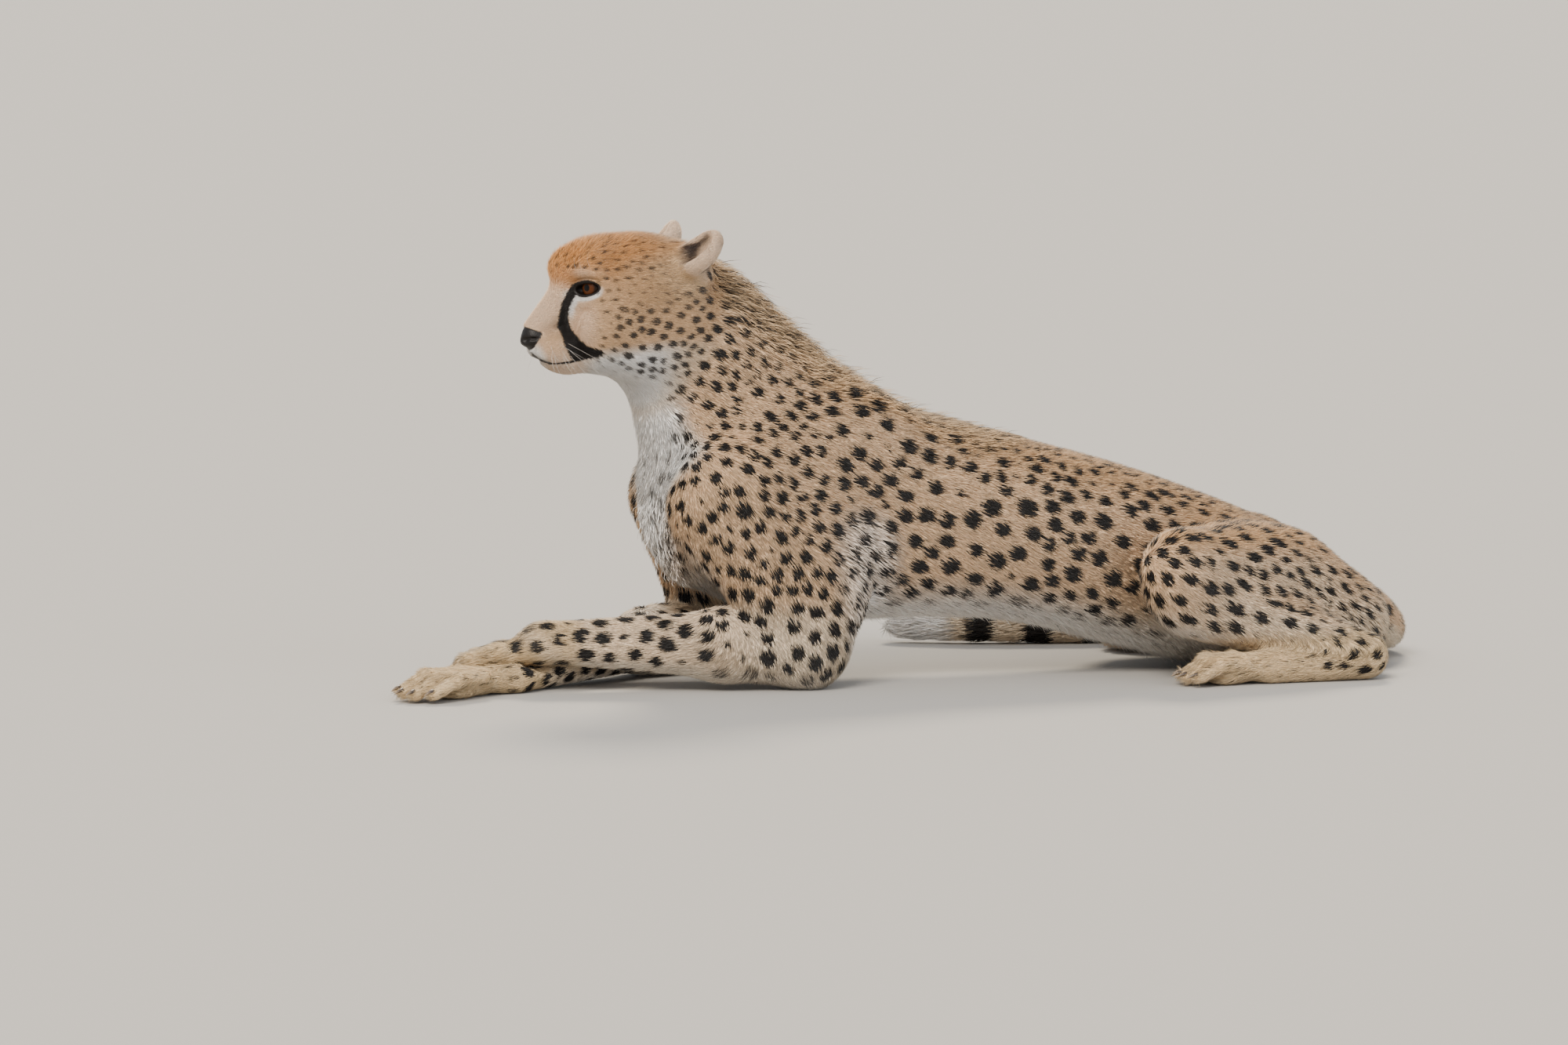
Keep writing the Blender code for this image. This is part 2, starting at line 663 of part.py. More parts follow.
def surface_net(distance, low, high, cell):
    """A closed quad mesh of the zero level of distance on a grid. Each cell that the surface passes through gets one
    vertex, the mean of the points where the cell's edges cross the surface, and each crossed edge gets one quad."""
    counts = [int((b - a) / cell) + 2 for a, b in zip(low, high, strict=True)]
    values = without_pinches(values_on_grid(distance, low, counts, cell, 2))
    inside = values < 0
    cells = [count - 1 for count in counts]
    total = np.zeros((*cells, 3))
    crossings = np.zeros(cells)
    edges = []
    for axis in range(3):
        first = [slice(None)] * 3
        second = [slice(None)] * 3
        first[axis], second[axis] = slice(0, -1), slice(1, None)
        a, b = values[tuple(first)], values[tuple(second)]
        crossed = inside[tuple(first)] != inside[tuple(second)]
        share = np.where(crossed, a / np.where(crossed, a - b, 1), 0)
        edges.append((crossed, inside[tuple(first)]))
        others = [k for k in range(3) if k != axis]
        for i in (0, 1):
            for j in (0, 1):
                part = [slice(None)] * 3
                part[others[0]] = slice(i, i + cells[others[0]])
                part[others[1]] = slice(j, j + cells[others[1]])
                hit = crossed[tuple(part)]
                crossings += hit
                total[..., axis] += share[tuple(part)]
                total[..., others[0]] += i * hit
                total[..., others[1]] += j * hit
    used = crossings > 0
    index = np.full(cells, -1)
    index[used] = np.arange(used.sum())
    points = (np.argwhere(used) + total[used] / crossings[used][:, None]) * cell + np.array(low)
    quads = []
    for axis in range(3):
        crossed, starts_inside = edges[axis]
        u, v = ((1, 2), (2, 0), (0, 1))[axis]
        places = np.argwhere(crossed)
        clear = (places[:, u] > 0) & (places[:, v] > 0) & (places[:, u] < cells[u]) & (places[:, v] < cells[v])
        places = places[clear]
        ring = []
        for du, dv in ((1, 1), (0, 1), (0, 0), (1, 0)):
            step = places.copy()
            step[:, u] -= du
            step[:, v] -= dv
            ring.append(index[tuple(step.T)])
        faces = np.stack(ring, axis=1)
        turned = ~starts_inside[tuple(places.T)]
        faces[turned] = faces[turned][:, ::-1]
        quads.append(faces)
    return points, np.concatenate(quads)


# ---------------------------------------------------------------- pieces


def colour(code):
    """The linear colour of an sRGB hex code."""
    channels = [int(code[i : i + 2], 16) / 255 for i in (1, 3, 5)]
    return (*(c / 12.92 if c <= 0.04045 else ((c + 0.055) / 1.055) ** 2.4 for c in channels), 1)


def finish(obj, code, roughness):
    """Gives an object a material of its own."""
    material = bpy.data.materials.new(obj.name)
    material.use_nodes = True
    shader = material.node_tree.nodes["Principled BSDF"]
    shader.inputs["Base Color"].default_value = colour(code)
    shader.inputs["Roughness"].default_value = roughness
    shader.inputs["Metallic"].default_value = 0
    material.diffuse_color = colour(code)
    obj.data.materials.append(material)


def add_cutter(obj, cutter, operation):
    """Cuts an object with another, which stays in the file as a hidden guide."""
    if cutter.name not in bpy.context.scene.collection.objects:
        bpy.context.scene.collection.objects.link(cutter)
        cutter.hide_render = True
        cutter.display_type = "WIRE"
    step = obj.modifiers.new(cutter.name, "BOOLEAN")
    step.operation = operation
    step.object = cutter
    step.solver = "EXACT"


CUTTERS = {}


def cutter_of(cut, grow):
    """The hidden solid of a cut: a little small for what lies inside it, and a little large for what lies outside."""
    name = f"{cut.name}_{'inner' if grow < 0 else 'outer'}"
    if name not in CUTTERS:
        CUTTERS[name] = cut.solid(name, grow)
    return CUTTERS[name]


def flesh(name, form, box, cell, triangles, inside=(), outside=(), code=COAT):
    """One piece of the body: the form within a box, inside some cuts and outside others, thinned to a number of
    triangles before the cuts are made."""

    def clipped(points):
        found = form(points)
        for cut in inside:
            found = np.maximum(found, cut.distance(points) - LOOSE * cell)
        for cut in outside:
            found = np.maximum(found, -cut.distance(points) - LOOSE * cell)
        return found

    points, faces = surface_net(clipped, box[0], box[1], cell)
    mesh = bpy.data.meshes.new(name)
    mesh.from_pydata(points.tolist(), [], faces.tolist())
    mesh.update()
    obj = bpy.data.objects.new(name, mesh)
    bpy.context.scene.collection.objects.link(obj)
    thinner = obj.modifiers.new("thinner", "DECIMATE")
    thinner.ratio = min(1, triangles / (2 * len(faces)))
    for cut in inside:
        add_cutter(obj, cutter_of(cut, 0 if cut is FLOOR else -CUT / 2), "INTERSECT")
    for cut in outside:
        add_cutter(obj, cutter_of(cut, CUT / 2), "DIFFERENCE")
    mesh.shade_smooth()
    finish(obj, code, 0.85)
    return obj


def around(centre, reach):
    """A box about a point, as its low and high corners, a little under the floor at the lowest."""
    centre = Vector(centre)
    reach = Vector(reach)
    low, high = centre - reach, centre + reach
    low.z = max(low.z, -0.02)
    return low, high


def make_trunk():
    """Everything between the base of the neck, the four upper legs and the tail."""
    outside = [NECK_CUT, *SHOULDER_CUT.values(), *HAUNCH_CUT.values()]
    return flesh(
        "trunk",
        torso_form,
        ((-0.36, -0.17, -0.02), (0.54, 0.17, 0.36)),
        0.007,
        940,
        inside=[FLOOR, tail_cut(2)],
        outside=outside,
    )


def make_neck():
    """The neck between its cuts below the skull and above the shoulders."""
    return flesh(
        "neck",
        body_form,
        ((-0.42, -0.14, 0.12), (-0.06, 0.14, 0.50)),
        0.006,
        400,
        inside=[NECK_CUT],
        outside=[HEAD_CUT],
    )


def make_head():
    """The head in front of its cut, without the ears, and with open sockets for the eyes."""
    head = flesh(
        "head",
        body_form,
        around(HEAD_PLACE, (0.15, 0.13, 0.13)),
        0.0026,
        960,
        inside=[HEAD_CUT],
        outside=[ear_cut(LEFT), ear_cut(RIGHT)],
    )
    for side in SIDE_NAMES:
        mesh = bpy.data.meshes.new(f"socket_{SIDE_NAMES[side]}")
        build = bmesh.new()
        bmesh.ops.create_uvsphere(build, u_segments=16, v_segments=9, radius=EYE_RADIUS + SOCKET_GAP)
        build.to_mesh(mesh)
        build.free()
        socket = bpy.data.objects.new(mesh.name, mesh)
        place_eye(socket, side)
        add_cutter(head, socket, "DIFFERENCE")
    return head


def place_eye(obj, side):
    """Puts an eye or its socket into the head, with its pole towards where it looks."""
    flip = Vector((1, -side, 1))
    matrix = head_matrix()
    look = matrix.to_3x3() @ (EYE_LOOK * flip)
    obj.location = matrix @ (EYE_PLACE * flip)
    obj.rotation_mode = "QUATERNION"
    obj.rotation_quaternion = look.to_track_quat("Z", "Y")


def make_eye(side):
    """An eyeball, which shows between the lids."""
    mesh = bpy.data.meshes.new(f"eye_{SIDE_NAMES[side]}")
    build = bmesh.new()
    bmesh.ops.create_uvsphere(build, u_segments=16, v_segments=9, radius=EYE_RADIUS)
    build.to_mesh(mesh)
    build.free()
    mesh.shade_smooth()
    eye = bpy.data.objects.new(mesh.name, mesh)
    bpy.context.scene.collection.objects.link(eye)
    place_eye(eye, side)
    finish(eye, EYE, 0.15)
    return eye


def ear_form(points):
    return distance_to(ear_masses(), into_head(points))


def make_ear(side):
    """One ear, outside its cut."""
    middle = head_matrix() @ (EAR_BASE.lerp(EAR_TIP, 0.5) * Vector((1, -side, 1)))
    return flesh(
        f"ear_{SIDE_NAMES[side]}",
        ear_form,
        around(middle, (0.05, 0.05, 0.05)),
        0.0024,
        160,
        inside=[ear_cut(side)],
        code=EAR_COAT,
    )


def make_foreleg(side):
    """The upper arm with its elbow, the forearm, and the paw with its claws."""
    name = SIDE_NAMES[side]
    form = left_foreleg_form if side == LEFT else right_foreleg_form
    flesh(
        f"upper_foreleg_{name}",
        torso_form,
        around((-0.21, side * 0.12, 0.13), (0.16, 0.09, 0.17)),
        0.0055,
        390,
        inside=[FLOOR, SHOULDER_CUT[side], ELBOW_CUT[side]],
        outside=[NECK_CUT],
    )
    middle = ELBOW[side].lerp(WRIST[side], 0.5)
    flesh(
        f"forearm_{name}",
        form,
        around(middle, (0.175, 0.14, 0.09)),
        0.0042,
        220,
        inside=[FLOOR, WRIST_CUT[side]],
        outside=[ELBOW_CUT[side]],
    )
    wrist, toes = WRIST[side], FORE_TOES[side]
    paw = flesh(
        f"forepaw_{name}",
        form,
        around(wrist.lerp(toes, 0.5), (0.12, 0.09, 0.07)),
        0.0030,
        390,
        inside=[FLOOR],
        outside=[WRIST_CUT[side]],
        code=PALE_COAT,
    )
    add_claws(paw, f"fore_claw_{name}", wrist, toes, FOREPAW_WIDTH)


def make_hindleg(side):
    """The thigh with the folded shank, and the long foot with its claws."""
    name = SIDE_NAMES[side]
    flip = Vector((1, side, 1))
    flesh(
        f"thigh_{name}",
        body_form,
        around((0.33, side * 0.13, 0.09), (0.20, 0.09, 0.12)),
        0.0055,
        400,
        inside=[FLOOR, HAUNCH_CUT[side]],
        outside=[FOOT_CUT[side]],
    )
    foot = flesh(
        f"hind_foot_{name}",
        body_form,
        around((0.30, side * 0.15, 0.02), (0.14, 0.08, 0.05)),
        0.0032,
        270,
        inside=[FLOOR, FOOT_CUT[side]],
        code=PALE_COAT,
    )
    instep = HOCK.lerp(HIND_TOES, 0.5) + Vector((0, 0, 0.004))
    add_claws(foot, f"hind_claw_{name}", instep * flip, HIND_TOES * flip, HIND_PAW_WIDTH)


def make_tail():
    """Three lengths of the tail, from its root beside the rump to the tip."""
    places, _ = tail_stations()
    for name, (first, last) in TAIL_PARTS.items():
        low = places[first : last + 1].min(axis=0) - 0.05
        high = places[first : last + 1].max(axis=0) + 0.05
        low[2] = -0.02

        def length(points, first=first, last=last):
            return distance_to(tail_masses(first - 2, last + 2), points)

        flesh(
            name,
            length,
            (low, high),
            0.0042,
            150,
            inside=[FLOOR, tail_cut(last)] if last < TAIL_STEPS else [FLOOR],
            outside=[tail_cut(first)],
        )


def claw_mesh(name, grow):
    """A claw: a short cone that bends down towards its point. Its base is at the origin, and it runs along +X."""
    sides, rings = 6, 3
    build = bmesh.new()
    loops = []
    for ring in range(rings):
        share = ring / rings
        bend = share * math.radians(38)
        radius = CLAW_RADIUS * (1 - share) ** 0.8 + grow
        centre = Vector((CLAW_LENGTH * share - (grow if ring == 0 else 0), 0, -CLAW_LENGTH * 0.30 * share**2))
        loop = []
        for k in range(sides):
            angle = math.tau * k / sides
            offset = Vector((0, math.cos(angle) * radius * 0.75, math.sin(angle) * radius))
            offset.rotate(Euler((0, bend, 0)))
            loop.append(build.verts.new(centre + offset))
        loops.append(loop)
    tip = build.verts.new((CLAW_LENGTH + grow, 0, -CLAW_LENGTH * 0.30 - grow))
    build.faces.new(loops[0][::-1])
    for inner, outer in zip(loops, loops[1:], strict=False):
        for k in range(sides):
            build.faces.new((inner[k], inner[(k + 1) % sides], outer[(k + 1) % sides], outer[k]))
    for k in range(sides):
        build.faces.new((loops[-1][k], loops[-1][(k + 1) % sides], tip))
    bmesh.ops.recalc_face_normals(build, faces=build.faces)
    mesh = bpy.data.meshes.new(name)
    build.to_mesh(mesh)
    build.free()
    return mesh


def add_claws(paw, name, wrist, toes, width):
    """A claw in the tip of each toe of a paw, each in a close pocket."""
    frame = paw_frame(wrist, toes)
    heading = math.atan2(frame[1][0], frame[0][0])
    for number, (_, _, tip) in enumerate(toes_of(wrist, toes, width), start=1):
        claw = bpy.data.objects.new(f"{name}_{number}", claw_mesh(f"{name}_{number}", 0))
        pocket = bpy.data.objects.new(f"{name}_{number}_pocket", claw_mesh(f"{name}_{number}_pocket", SOCKET_GAP))
        for obj in (claw, pocket):
            obj.location = tip + Vector((math.cos(heading) * 0.0035, math.sin(heading) * 0.0035, 0.0035))
            obj.rotation_euler = (0, 0, heading)
        bpy.context.scene.collection.objects.link(claw)
        finish(claw, HORN, 0.35)
        add_cutter(paw, pocket, "DIFFERENCE")


def clear_scene():
    for obj in list(bpy.data.objects):
        bpy.data.objects.remove(obj)


def main():
    clear_scene()
    make_trunk()
    make_neck()
    make_head()
    for side in (LEFT, RIGHT):
        make_ear(side)
        make_eye(side)
        make_foreleg(side)
        make_hindleg(side)
    make_tail()
    home = bpy.data.objects.new("home", None)
    bpy.context.scene.collection.objects.link(home)
    for obj in bpy.context.scene.collection.objects:
        if obj is not home:
            obj.parent = home
    home.location = -HOME


if __name__ == "__main__":
    main()
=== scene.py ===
"""A cheetah lying on its elbows with its head up, as a life-size museum model.

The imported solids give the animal's place and the box round it. One skin is drawn over the whole body, from
the same masses of flesh as theirs, but inside the outline of the coat. The coat is laid on it in thin tufts
that follow the lie of the hair. The eyes, claws and whiskers are pieces of their own. All is in metres."""

import json
import math

import bmesh
import bpy
import numpy as np
from mathutils import Euler, Matrix, Vector

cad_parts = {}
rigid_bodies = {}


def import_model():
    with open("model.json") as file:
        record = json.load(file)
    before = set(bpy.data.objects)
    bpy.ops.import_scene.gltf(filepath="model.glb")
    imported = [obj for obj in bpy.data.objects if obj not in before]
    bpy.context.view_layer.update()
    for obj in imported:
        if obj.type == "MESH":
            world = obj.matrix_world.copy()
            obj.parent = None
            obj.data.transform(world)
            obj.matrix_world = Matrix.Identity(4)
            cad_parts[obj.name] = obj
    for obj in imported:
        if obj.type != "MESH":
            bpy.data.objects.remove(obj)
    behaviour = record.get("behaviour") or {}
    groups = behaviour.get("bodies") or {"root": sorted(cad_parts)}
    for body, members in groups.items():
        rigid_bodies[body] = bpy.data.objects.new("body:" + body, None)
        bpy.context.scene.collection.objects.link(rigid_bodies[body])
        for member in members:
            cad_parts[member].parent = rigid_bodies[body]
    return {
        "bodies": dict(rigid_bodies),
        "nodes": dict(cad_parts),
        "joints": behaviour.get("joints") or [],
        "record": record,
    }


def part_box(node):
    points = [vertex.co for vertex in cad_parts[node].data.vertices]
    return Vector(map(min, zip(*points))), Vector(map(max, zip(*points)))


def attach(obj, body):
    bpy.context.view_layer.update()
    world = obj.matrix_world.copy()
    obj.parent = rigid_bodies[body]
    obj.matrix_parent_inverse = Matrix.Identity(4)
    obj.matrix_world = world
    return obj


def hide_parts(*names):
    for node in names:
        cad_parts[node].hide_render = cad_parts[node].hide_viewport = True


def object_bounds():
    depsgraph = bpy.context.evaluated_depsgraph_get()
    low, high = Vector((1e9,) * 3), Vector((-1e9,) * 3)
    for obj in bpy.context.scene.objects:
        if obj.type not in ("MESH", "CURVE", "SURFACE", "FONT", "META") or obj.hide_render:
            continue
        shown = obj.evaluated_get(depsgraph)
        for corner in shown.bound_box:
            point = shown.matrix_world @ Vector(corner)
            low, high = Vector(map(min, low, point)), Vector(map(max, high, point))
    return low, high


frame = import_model()
CAD_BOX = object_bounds()

bl_info = {
    "name": "Reclining Cheetah",
    "version": (1, 0, 0),
    "blender": (4, 5, 0),
    "location": "View3D > Sidebar > Cheetah",
    "description": "Builds the skin, coat, eyes, claws and whiskers of a life-size reclining cheetah",
    "category": "Add Mesh",
}


def linear(code):
    """The linear colour of an sRGB hex code, by the two branches of the sRGB curve."""
    channels = [int(code[i : i + 2], 16) / 255 for i in (1, 3, 5)]
    return tuple(c / 12.92 if c <= 0.04045 else ((c + 0.055) / 1.055) ** 2.4 for c in channels)


# ---------------------------------------------------------------- the body's form, as the solids have it

EYE_RADIUS = 0.0155
CLAW_LENGTH = 0.0125
CLAW_RADIUS = 0.0026
FOREPAW_WIDTH = 0.066
HIND_PAW_WIDTH = 0.058
TOE_RADIUS = 0.0105
CLEARANCE = 0.0025  # the gap between the crossed forelegs
LOWEST = 0.0002  # no tuft or claw comes nearer to the floor
CLAW_RINGS, CLAW_SIDES = 12, 12

LEFT, RIGHT = -1, 1  # the side of the body, as the sign of Y
SIDE_NAMES = {LEFT: "left", RIGHT: "right"}

# The joints that set the pose. The left foreleg crosses over the right one.
WITHERS = Vector((-0.095, 0.048, 0.254))
SHOULDER = {LEFT: Vector((-0.258, -0.086, 0.195)), RIGHT: Vector((-0.268, 0.084, 0.190))}
ELBOW = {LEFT: Vector((-0.180, -0.112, 0.040)), RIGHT: Vector((-0.235, 0.100, 0.040))}
WRIST = {LEFT: Vector((-0.452, -0.072, 0.052)), RIGHT: Vector((-0.490, -0.075, 0.0165))}
FORE_TOES = {LEFT: Vector((-0.568, -0.036, 0.0040)), RIGHT: Vector((-0.628, -0.158, 0.0085))}
HIP = Vector((0.362, 0.070, 0.100))
KNEE = Vector((0.240, 0.130, 0.118))
HOCK = Vector((0.436, 0.152, 0.022))
HIND_TOES = Vector((0.218, 0.170, 0.0085))

# The head's own frame: X towards the nose, Y towards the animal's left, Z up, turned a little to the left.
HEAD_PLACE = Vector((-0.361, -0.004, 0.399))
HEAD_TURN = math.radians(6)


class Mass:
    """One mass of flesh: a distance function, the ball that holds it, and how softly it blends in."""

    def __init__(self, distance, centre, reach, blend, carve=False):
        self.distance = distance
        self.centre = np.array(centre, float)
        self.reach = reach
        self.blend = blend
        self.carve = carve


def ball(centre, radii, turn=(0, 0, 0), blend=0.02, carve=False):
    """An ellipsoid with three half-lengths, turned by angles in degrees about X, Y and Z."""
    middle = np.array(centre, float)
    half = np.array(radii, float)
    rotation = np.array(Euler([math.radians(angle) for angle in turn]).to_matrix())

    def distance(points):
        local = (points - middle) @ rotation
        scaled = np.linalg.norm(local / half, axis=1)
        slope = np.linalg.norm(local / half**2, axis=1)
        return scaled * (scaled - 1) / np.maximum(slope, 1e-9)

    return Mass(distance, middle, max(radii), blend, carve)


def bone(start, end, start_radius, end_radius, flat=1.0, across=(0, 1, 0), blend=0.02):
    """A tapered bone with its flesh: a round cone, squeezed by the factor flat in the direction across."""
    first, last = np.array(start, float), np.array(end, float)
    squeeze = np.array(across, float) / np.linalg.norm(across)

    def stretched(vectors):
        return vectors + np.outer(vectors @ squeeze, squeeze) * (1 / flat - 1)

    axis = stretched((last - first)[None])[0]

    def distance(points):
        local = stretched(points - first)
        along = np.clip(local @ axis / (axis @ axis), 0, 1)
        radius = start_radius + (end_radius - start_radius) * along
        away = np.linalg.norm(local - along[:, None] * axis, axis=1)
        return (away - radius) * (1 + flat) / 2

    reach = np.linalg.norm(last - first) / 2 + max(start_radius, end_radius)
    return Mass(distance, (first + last) / 2, reach, blend)


def curve_through(places, values, at):
    """A smooth curve through values at places, with the slopes of its neighbours, read at the points at."""
    slopes = np.gradient(values, places)
    at = np.clip(at, places[0], places[-1])
    left = np.clip(np.searchsorted(places, at) - 1, 0, len(places) - 2)
    width = places[left + 1] - places[left]
    t = (at - places[left]) / width
    return (
        values[left] * (1 + 2 * t) * (1 - t) ** 2
        + values[left + 1] * (3 - 2 * t) * t**2
        + slopes[left] * width * t * (1 - t) ** 2
        - slopes[left + 1] * width * t**2 * (1 - t)
    )


def loft(origin, along, up, stations, squareness=2.2, blend=0.03):
    """A profile carried along a straight axis. Each station gives its place on the axis, the half width,
    and how far the top and the bottom lie above the axis. Those three run on smooth curves."""
    start = np.array(origin, float)
    along = np.array(along, float) / np.linalg.norm(along)
    up = np.array(up, float) - along * np.dot(up, along)
    up = up / np.linalg.norm(up)
    side = np.cross(along, up)
    table = np.array(stations, float)

    def distance(points):
        local = points - start
        place, height, lateral = local @ along, local @ up, local @ side
        inside = np.clip(place, table[0, 0], table[-1, 0])
        width, top, bottom = (curve_through(table[:, 0], table[:, k], inside) for k in (1, 2, 3))
        half = (top - bottom) / 2
        u = np.abs(lateral) / width + 1e-6
        v = np.abs(height - (top + bottom) / 2) / half + 1e-6
        ring = (u**squareness + v**squareness) ** (1 / squareness)
        slope = np.hypot(u ** (squareness - 1) / width, v ** (squareness - 1) / half)
        slope = slope * ring ** (1 - squareness)
        away = (ring - 1) / slope
        past = np.abs(place - inside)
        return np.where(past > 0, np.hypot(np.maximum(away, 0), past), away)

    ends = table[[0, -1], 0]
    reach = np.ptp(ends) / 2 + np.abs(table[:, 1:]).max()
    return Mass(distance, start + along * ends.mean(), reach, blend)


def joined(a, b, softness):
    """The smaller of two distances, rounded over where they are within softness of each other."""
    near = np.maximum(softness - np.abs(a - b), 0) / softness
    return np.minimum(a, b) - near * near * softness / 4


def unit(vectors):
    """Each vector at length one."""
    return vectors / np.maximum(np.linalg.norm(vectors, axis=-1, keepdims=True), 1e-6)


def away_from(points, place):
    """The distance of each point from one place."""
    return np.linalg.norm(points - np.array(place), axis=1)


FAR = 0.05  # beyond this distance a mass is left out of the reckoning


def distance_to(masses, points):
    """The signed distance from points to a list of masses, in order. Far points keep a large value."""
    found = np.full(len(points), 1.0)
    for mass in masses:
        margin = mass.reach + mass.blend + FAR
        near = np.flatnonzero(np.abs(points - mass.centre).max(axis=1) < margin)
        own = mass.distance(points[near])
        if mass.carve:
            found[near] = -joined(-found[near], own, mass.blend)
        else:
            found[near] = joined(found[near], own, mass.blend)
    return found


def trunk_masses():
    """Ribcage, loin and rump as one loft, with the shoulder blades on it."""
    stations = (
        (-0.318, 0.022, 0.215, 0.155),
        (-0.302, 0.050, 0.245, 0.125),
        (-0.260, 0.078, 0.280, 0.095),
        (-0.190, 0.088, 0.302, 0.064),
        (-0.100, 0.094, 0.310, 0.058),
        (-0.010, 0.099, 0.283, 0.060),
        (0.090, 0.100, 0.256, 0.050),
        (0.180, 0.096, 0.231, 0.026),
        (0.270, 0.088, 0.200, 0.004),
        (0.350, 0.080, 0.166, -0.002),
        (0.420, 0.064, 0.122, -0.002),
        (0.465, 0.044, 0.082, 0.006),
        (0.490, 0.018, 0.056, 0.024),
    )
    masses = [loft((0, 0, 0), (1, 0, 0), (0, 0, 1), stations)]
    for side in (LEFT, RIGHT):
        masses.append(
            bone(
                WITHERS * Vector((1, side, 1)),
                SHOULDER[side] + Vector((0.02, 0, 0.012)),
                0.046,
                0.056,
                flat=0.62,
                blend=0.05,
            )
        )
    return masses


def neck_masses():
    """The neck, from the back of the skull down into the chest, with the nape's crest of longer hair."""
    stations = (
        (-0.040, 0.050, 0.080, -0.058),
        (0.020, 0.058, 0.109, -0.070),
        (0.080, 0.064, 0.115, -0.100),
        (0.150, 0.076, 0.122, -0.148),
        (0.210, 0.082, 0.122, -0.160),
        (0.270, 0.070, 0.095, -0.120),
    )
    return [loft((-0.315, 0, 0.385), (0.668, 0, -0.744), (0.744, 0, 0.668), stations, 2.0, blend=0.05)]


def paw_frame(wrist, toes):
    """A frame at the wrist, X towards the toes, Y sideways and level, Z up."""
    ahead = (toes - wrist).normalized()
    sideways = Vector((0, 0, 1)).cross(ahead).normalized()
    turn = Matrix((ahead, sideways, ahead.cross(sideways))).transposed()
    return Matrix.Translation(wrist) @ turn.to_4x4()


def toes_of(wrist, toes, width):
    """The four toes of a paw, side by side: each one's knuckle, joint and tip. The outer two are shorter."""
    frame = paw_frame(wrist, toes)
    length = (toes - wrist).length
    for place in (-1.5, -0.5, 0.5, 1.5):
        aside = place * width / 4
        short = abs(place) * 0.07 * length
        knuckle = frame @ Vector((length * 0.38 - short * 0.5, aside * 0.8, TOE_RADIUS * 0.9))
        joint = frame @ Vector((length * 0.70 - short, aside, TOE_RADIUS * 1.05))
        tip = frame @ Vector((length * 0.90 - short, aside * 1.08, 0.0))
        yield knuckle, joint, tip


def paw_masses(wrist, toes, width):
    """A paw: the flat hand behind the toes, four toes and their pads."""
    frame = paw_frame(wrist, toes)
    length = (toes - wrist).length
    upright = frame.to_3x3() @ Vector((0, 0, 1))
    thick = TOE_RADIUS * 2
    palm = frame @ Vector((length * 0.52, 0, -0.004))
    masses = [
        bone(wrist, frame @ Vector((length * 0.45, 0, 0.002)), thick, thick * 1.12, 0.72, upright, 0.014),
        ball(palm, (width * 0.36, width * 0.36, thick * 0.55), blend=0.012),
    ]
    for knuckle, joint, tip in toes_of(wrist, toes, width):
        masses.append(bone(knuckle, joint, TOE_RADIUS * 0.95, TOE_RADIUS, blend=0.008))
        masses.append(bone(joint, tip, TOE_RADIUS * 1.02, TOE_RADIUS * 0.90, blend=0.006))
    return masses


def upper_foreleg_masses(side):
    """The upper arm with its triceps, down to the elbow."""
    shoulder, elbow = SHOULDER[side], ELBOW[side]
    triceps = shoulder.lerp(elbow, 0.52) + Vector((0.050, -0.006 * side, 0.012))
    return [
        bone(shoulder, elbow + Vector((0, 0, 0.015)), 0.062, 0.040, flat=0.72, blend=0.035),
        ball(triceps, (0.064, 0.036, 0.088), turn=(0, -22, 0), blend=0.04),
        ball(elbow + Vector((0.014, 0, 0.002)), (0.037, 0.033, 0.042), blend=0.03),
    ]


def lower_foreleg_masses(side):
    """The forearm, wrist and paw."""
    elbow, wrist, toes = ELBOW[side], WRIST[side], FORE_TOES[side]
    belly = elbow.lerp(wrist, 0.30) + Vector((0, 0, 0.005))
    thin = 0.80 if side == RIGHT else 0.95
    return [
        bone(elbow, belly, 0.040, 0.040, blend=0.02),
        bone(belly, wrist, 0.040, 0.0250, flat=thin, across=(0, 0, 1), blend=0.02),
        ball(wrist, (0.028, 0.026, 0.022 * thin), blend=0.012),
        *paw_masses(wrist, toes, FOREPAW_WIDTH),
    ]


def hindleg_masses(side):
    """Haunch, thigh, folded shank, and the long foot flat on the floor."""
    flip = Vector((1, side, 1))
    hip, knee, hock, toes = (joint * flip for joint in (HIP, KNEE, HOCK, HIND_TOES))
    instep = hock.lerp(toes, 0.5)
    calf = knee + Vector((0.01, 0, -0.03))
    return [
        ball((0.336, side * 0.078, 0.084), (0.124, 0.064, 0.075), turn=(0, 14, -side * 12), blend=0.035),
        ball((0.412, side * 0.066, 0.054), (0.074, 0.058, 0.057), blend=0.03),
        bone(hip, knee, 0.056, 0.045, flat=0.85, blend=0.03),
        ball(knee + Vector((-0.002, 0, -0.004)), (0.044, 0.036, 0.050), turn=(0, -20, 0), blend=0.025),
        bone(calf, hock + Vector((0, 0, 0.008)), 0.044, 0.024, flat=0.8, blend=0.022),
        bone(hock, instep, 0.0235, 0.0205, blend=0.014),
        *paw_masses(instep + Vector((0, 0, 0.004)), toes, HIND_PAW_WIDTH),
    ]


TAIL_PATH = (
    (0.440, 0.000, 0.080),
    (0.488, 0.018, 0.052),
    (0.518, 0.075, 0.027),
    (0.505, 0.150, 0.0215),
    (0.435, 0.212, 0.0215),
    (0.330, 0.238, 0.0215),
    (0.215, 0.246, 0.0215),
    (0.100, 0.262, 0.0215),
    (0.020, 0.288, 0.0185),
)
TAIL_RADII = (0.030, 0.024, 0.0225, 0.0235, 0.0175)  # at even steps from the root to the tip
TAIL_STEPS = 24


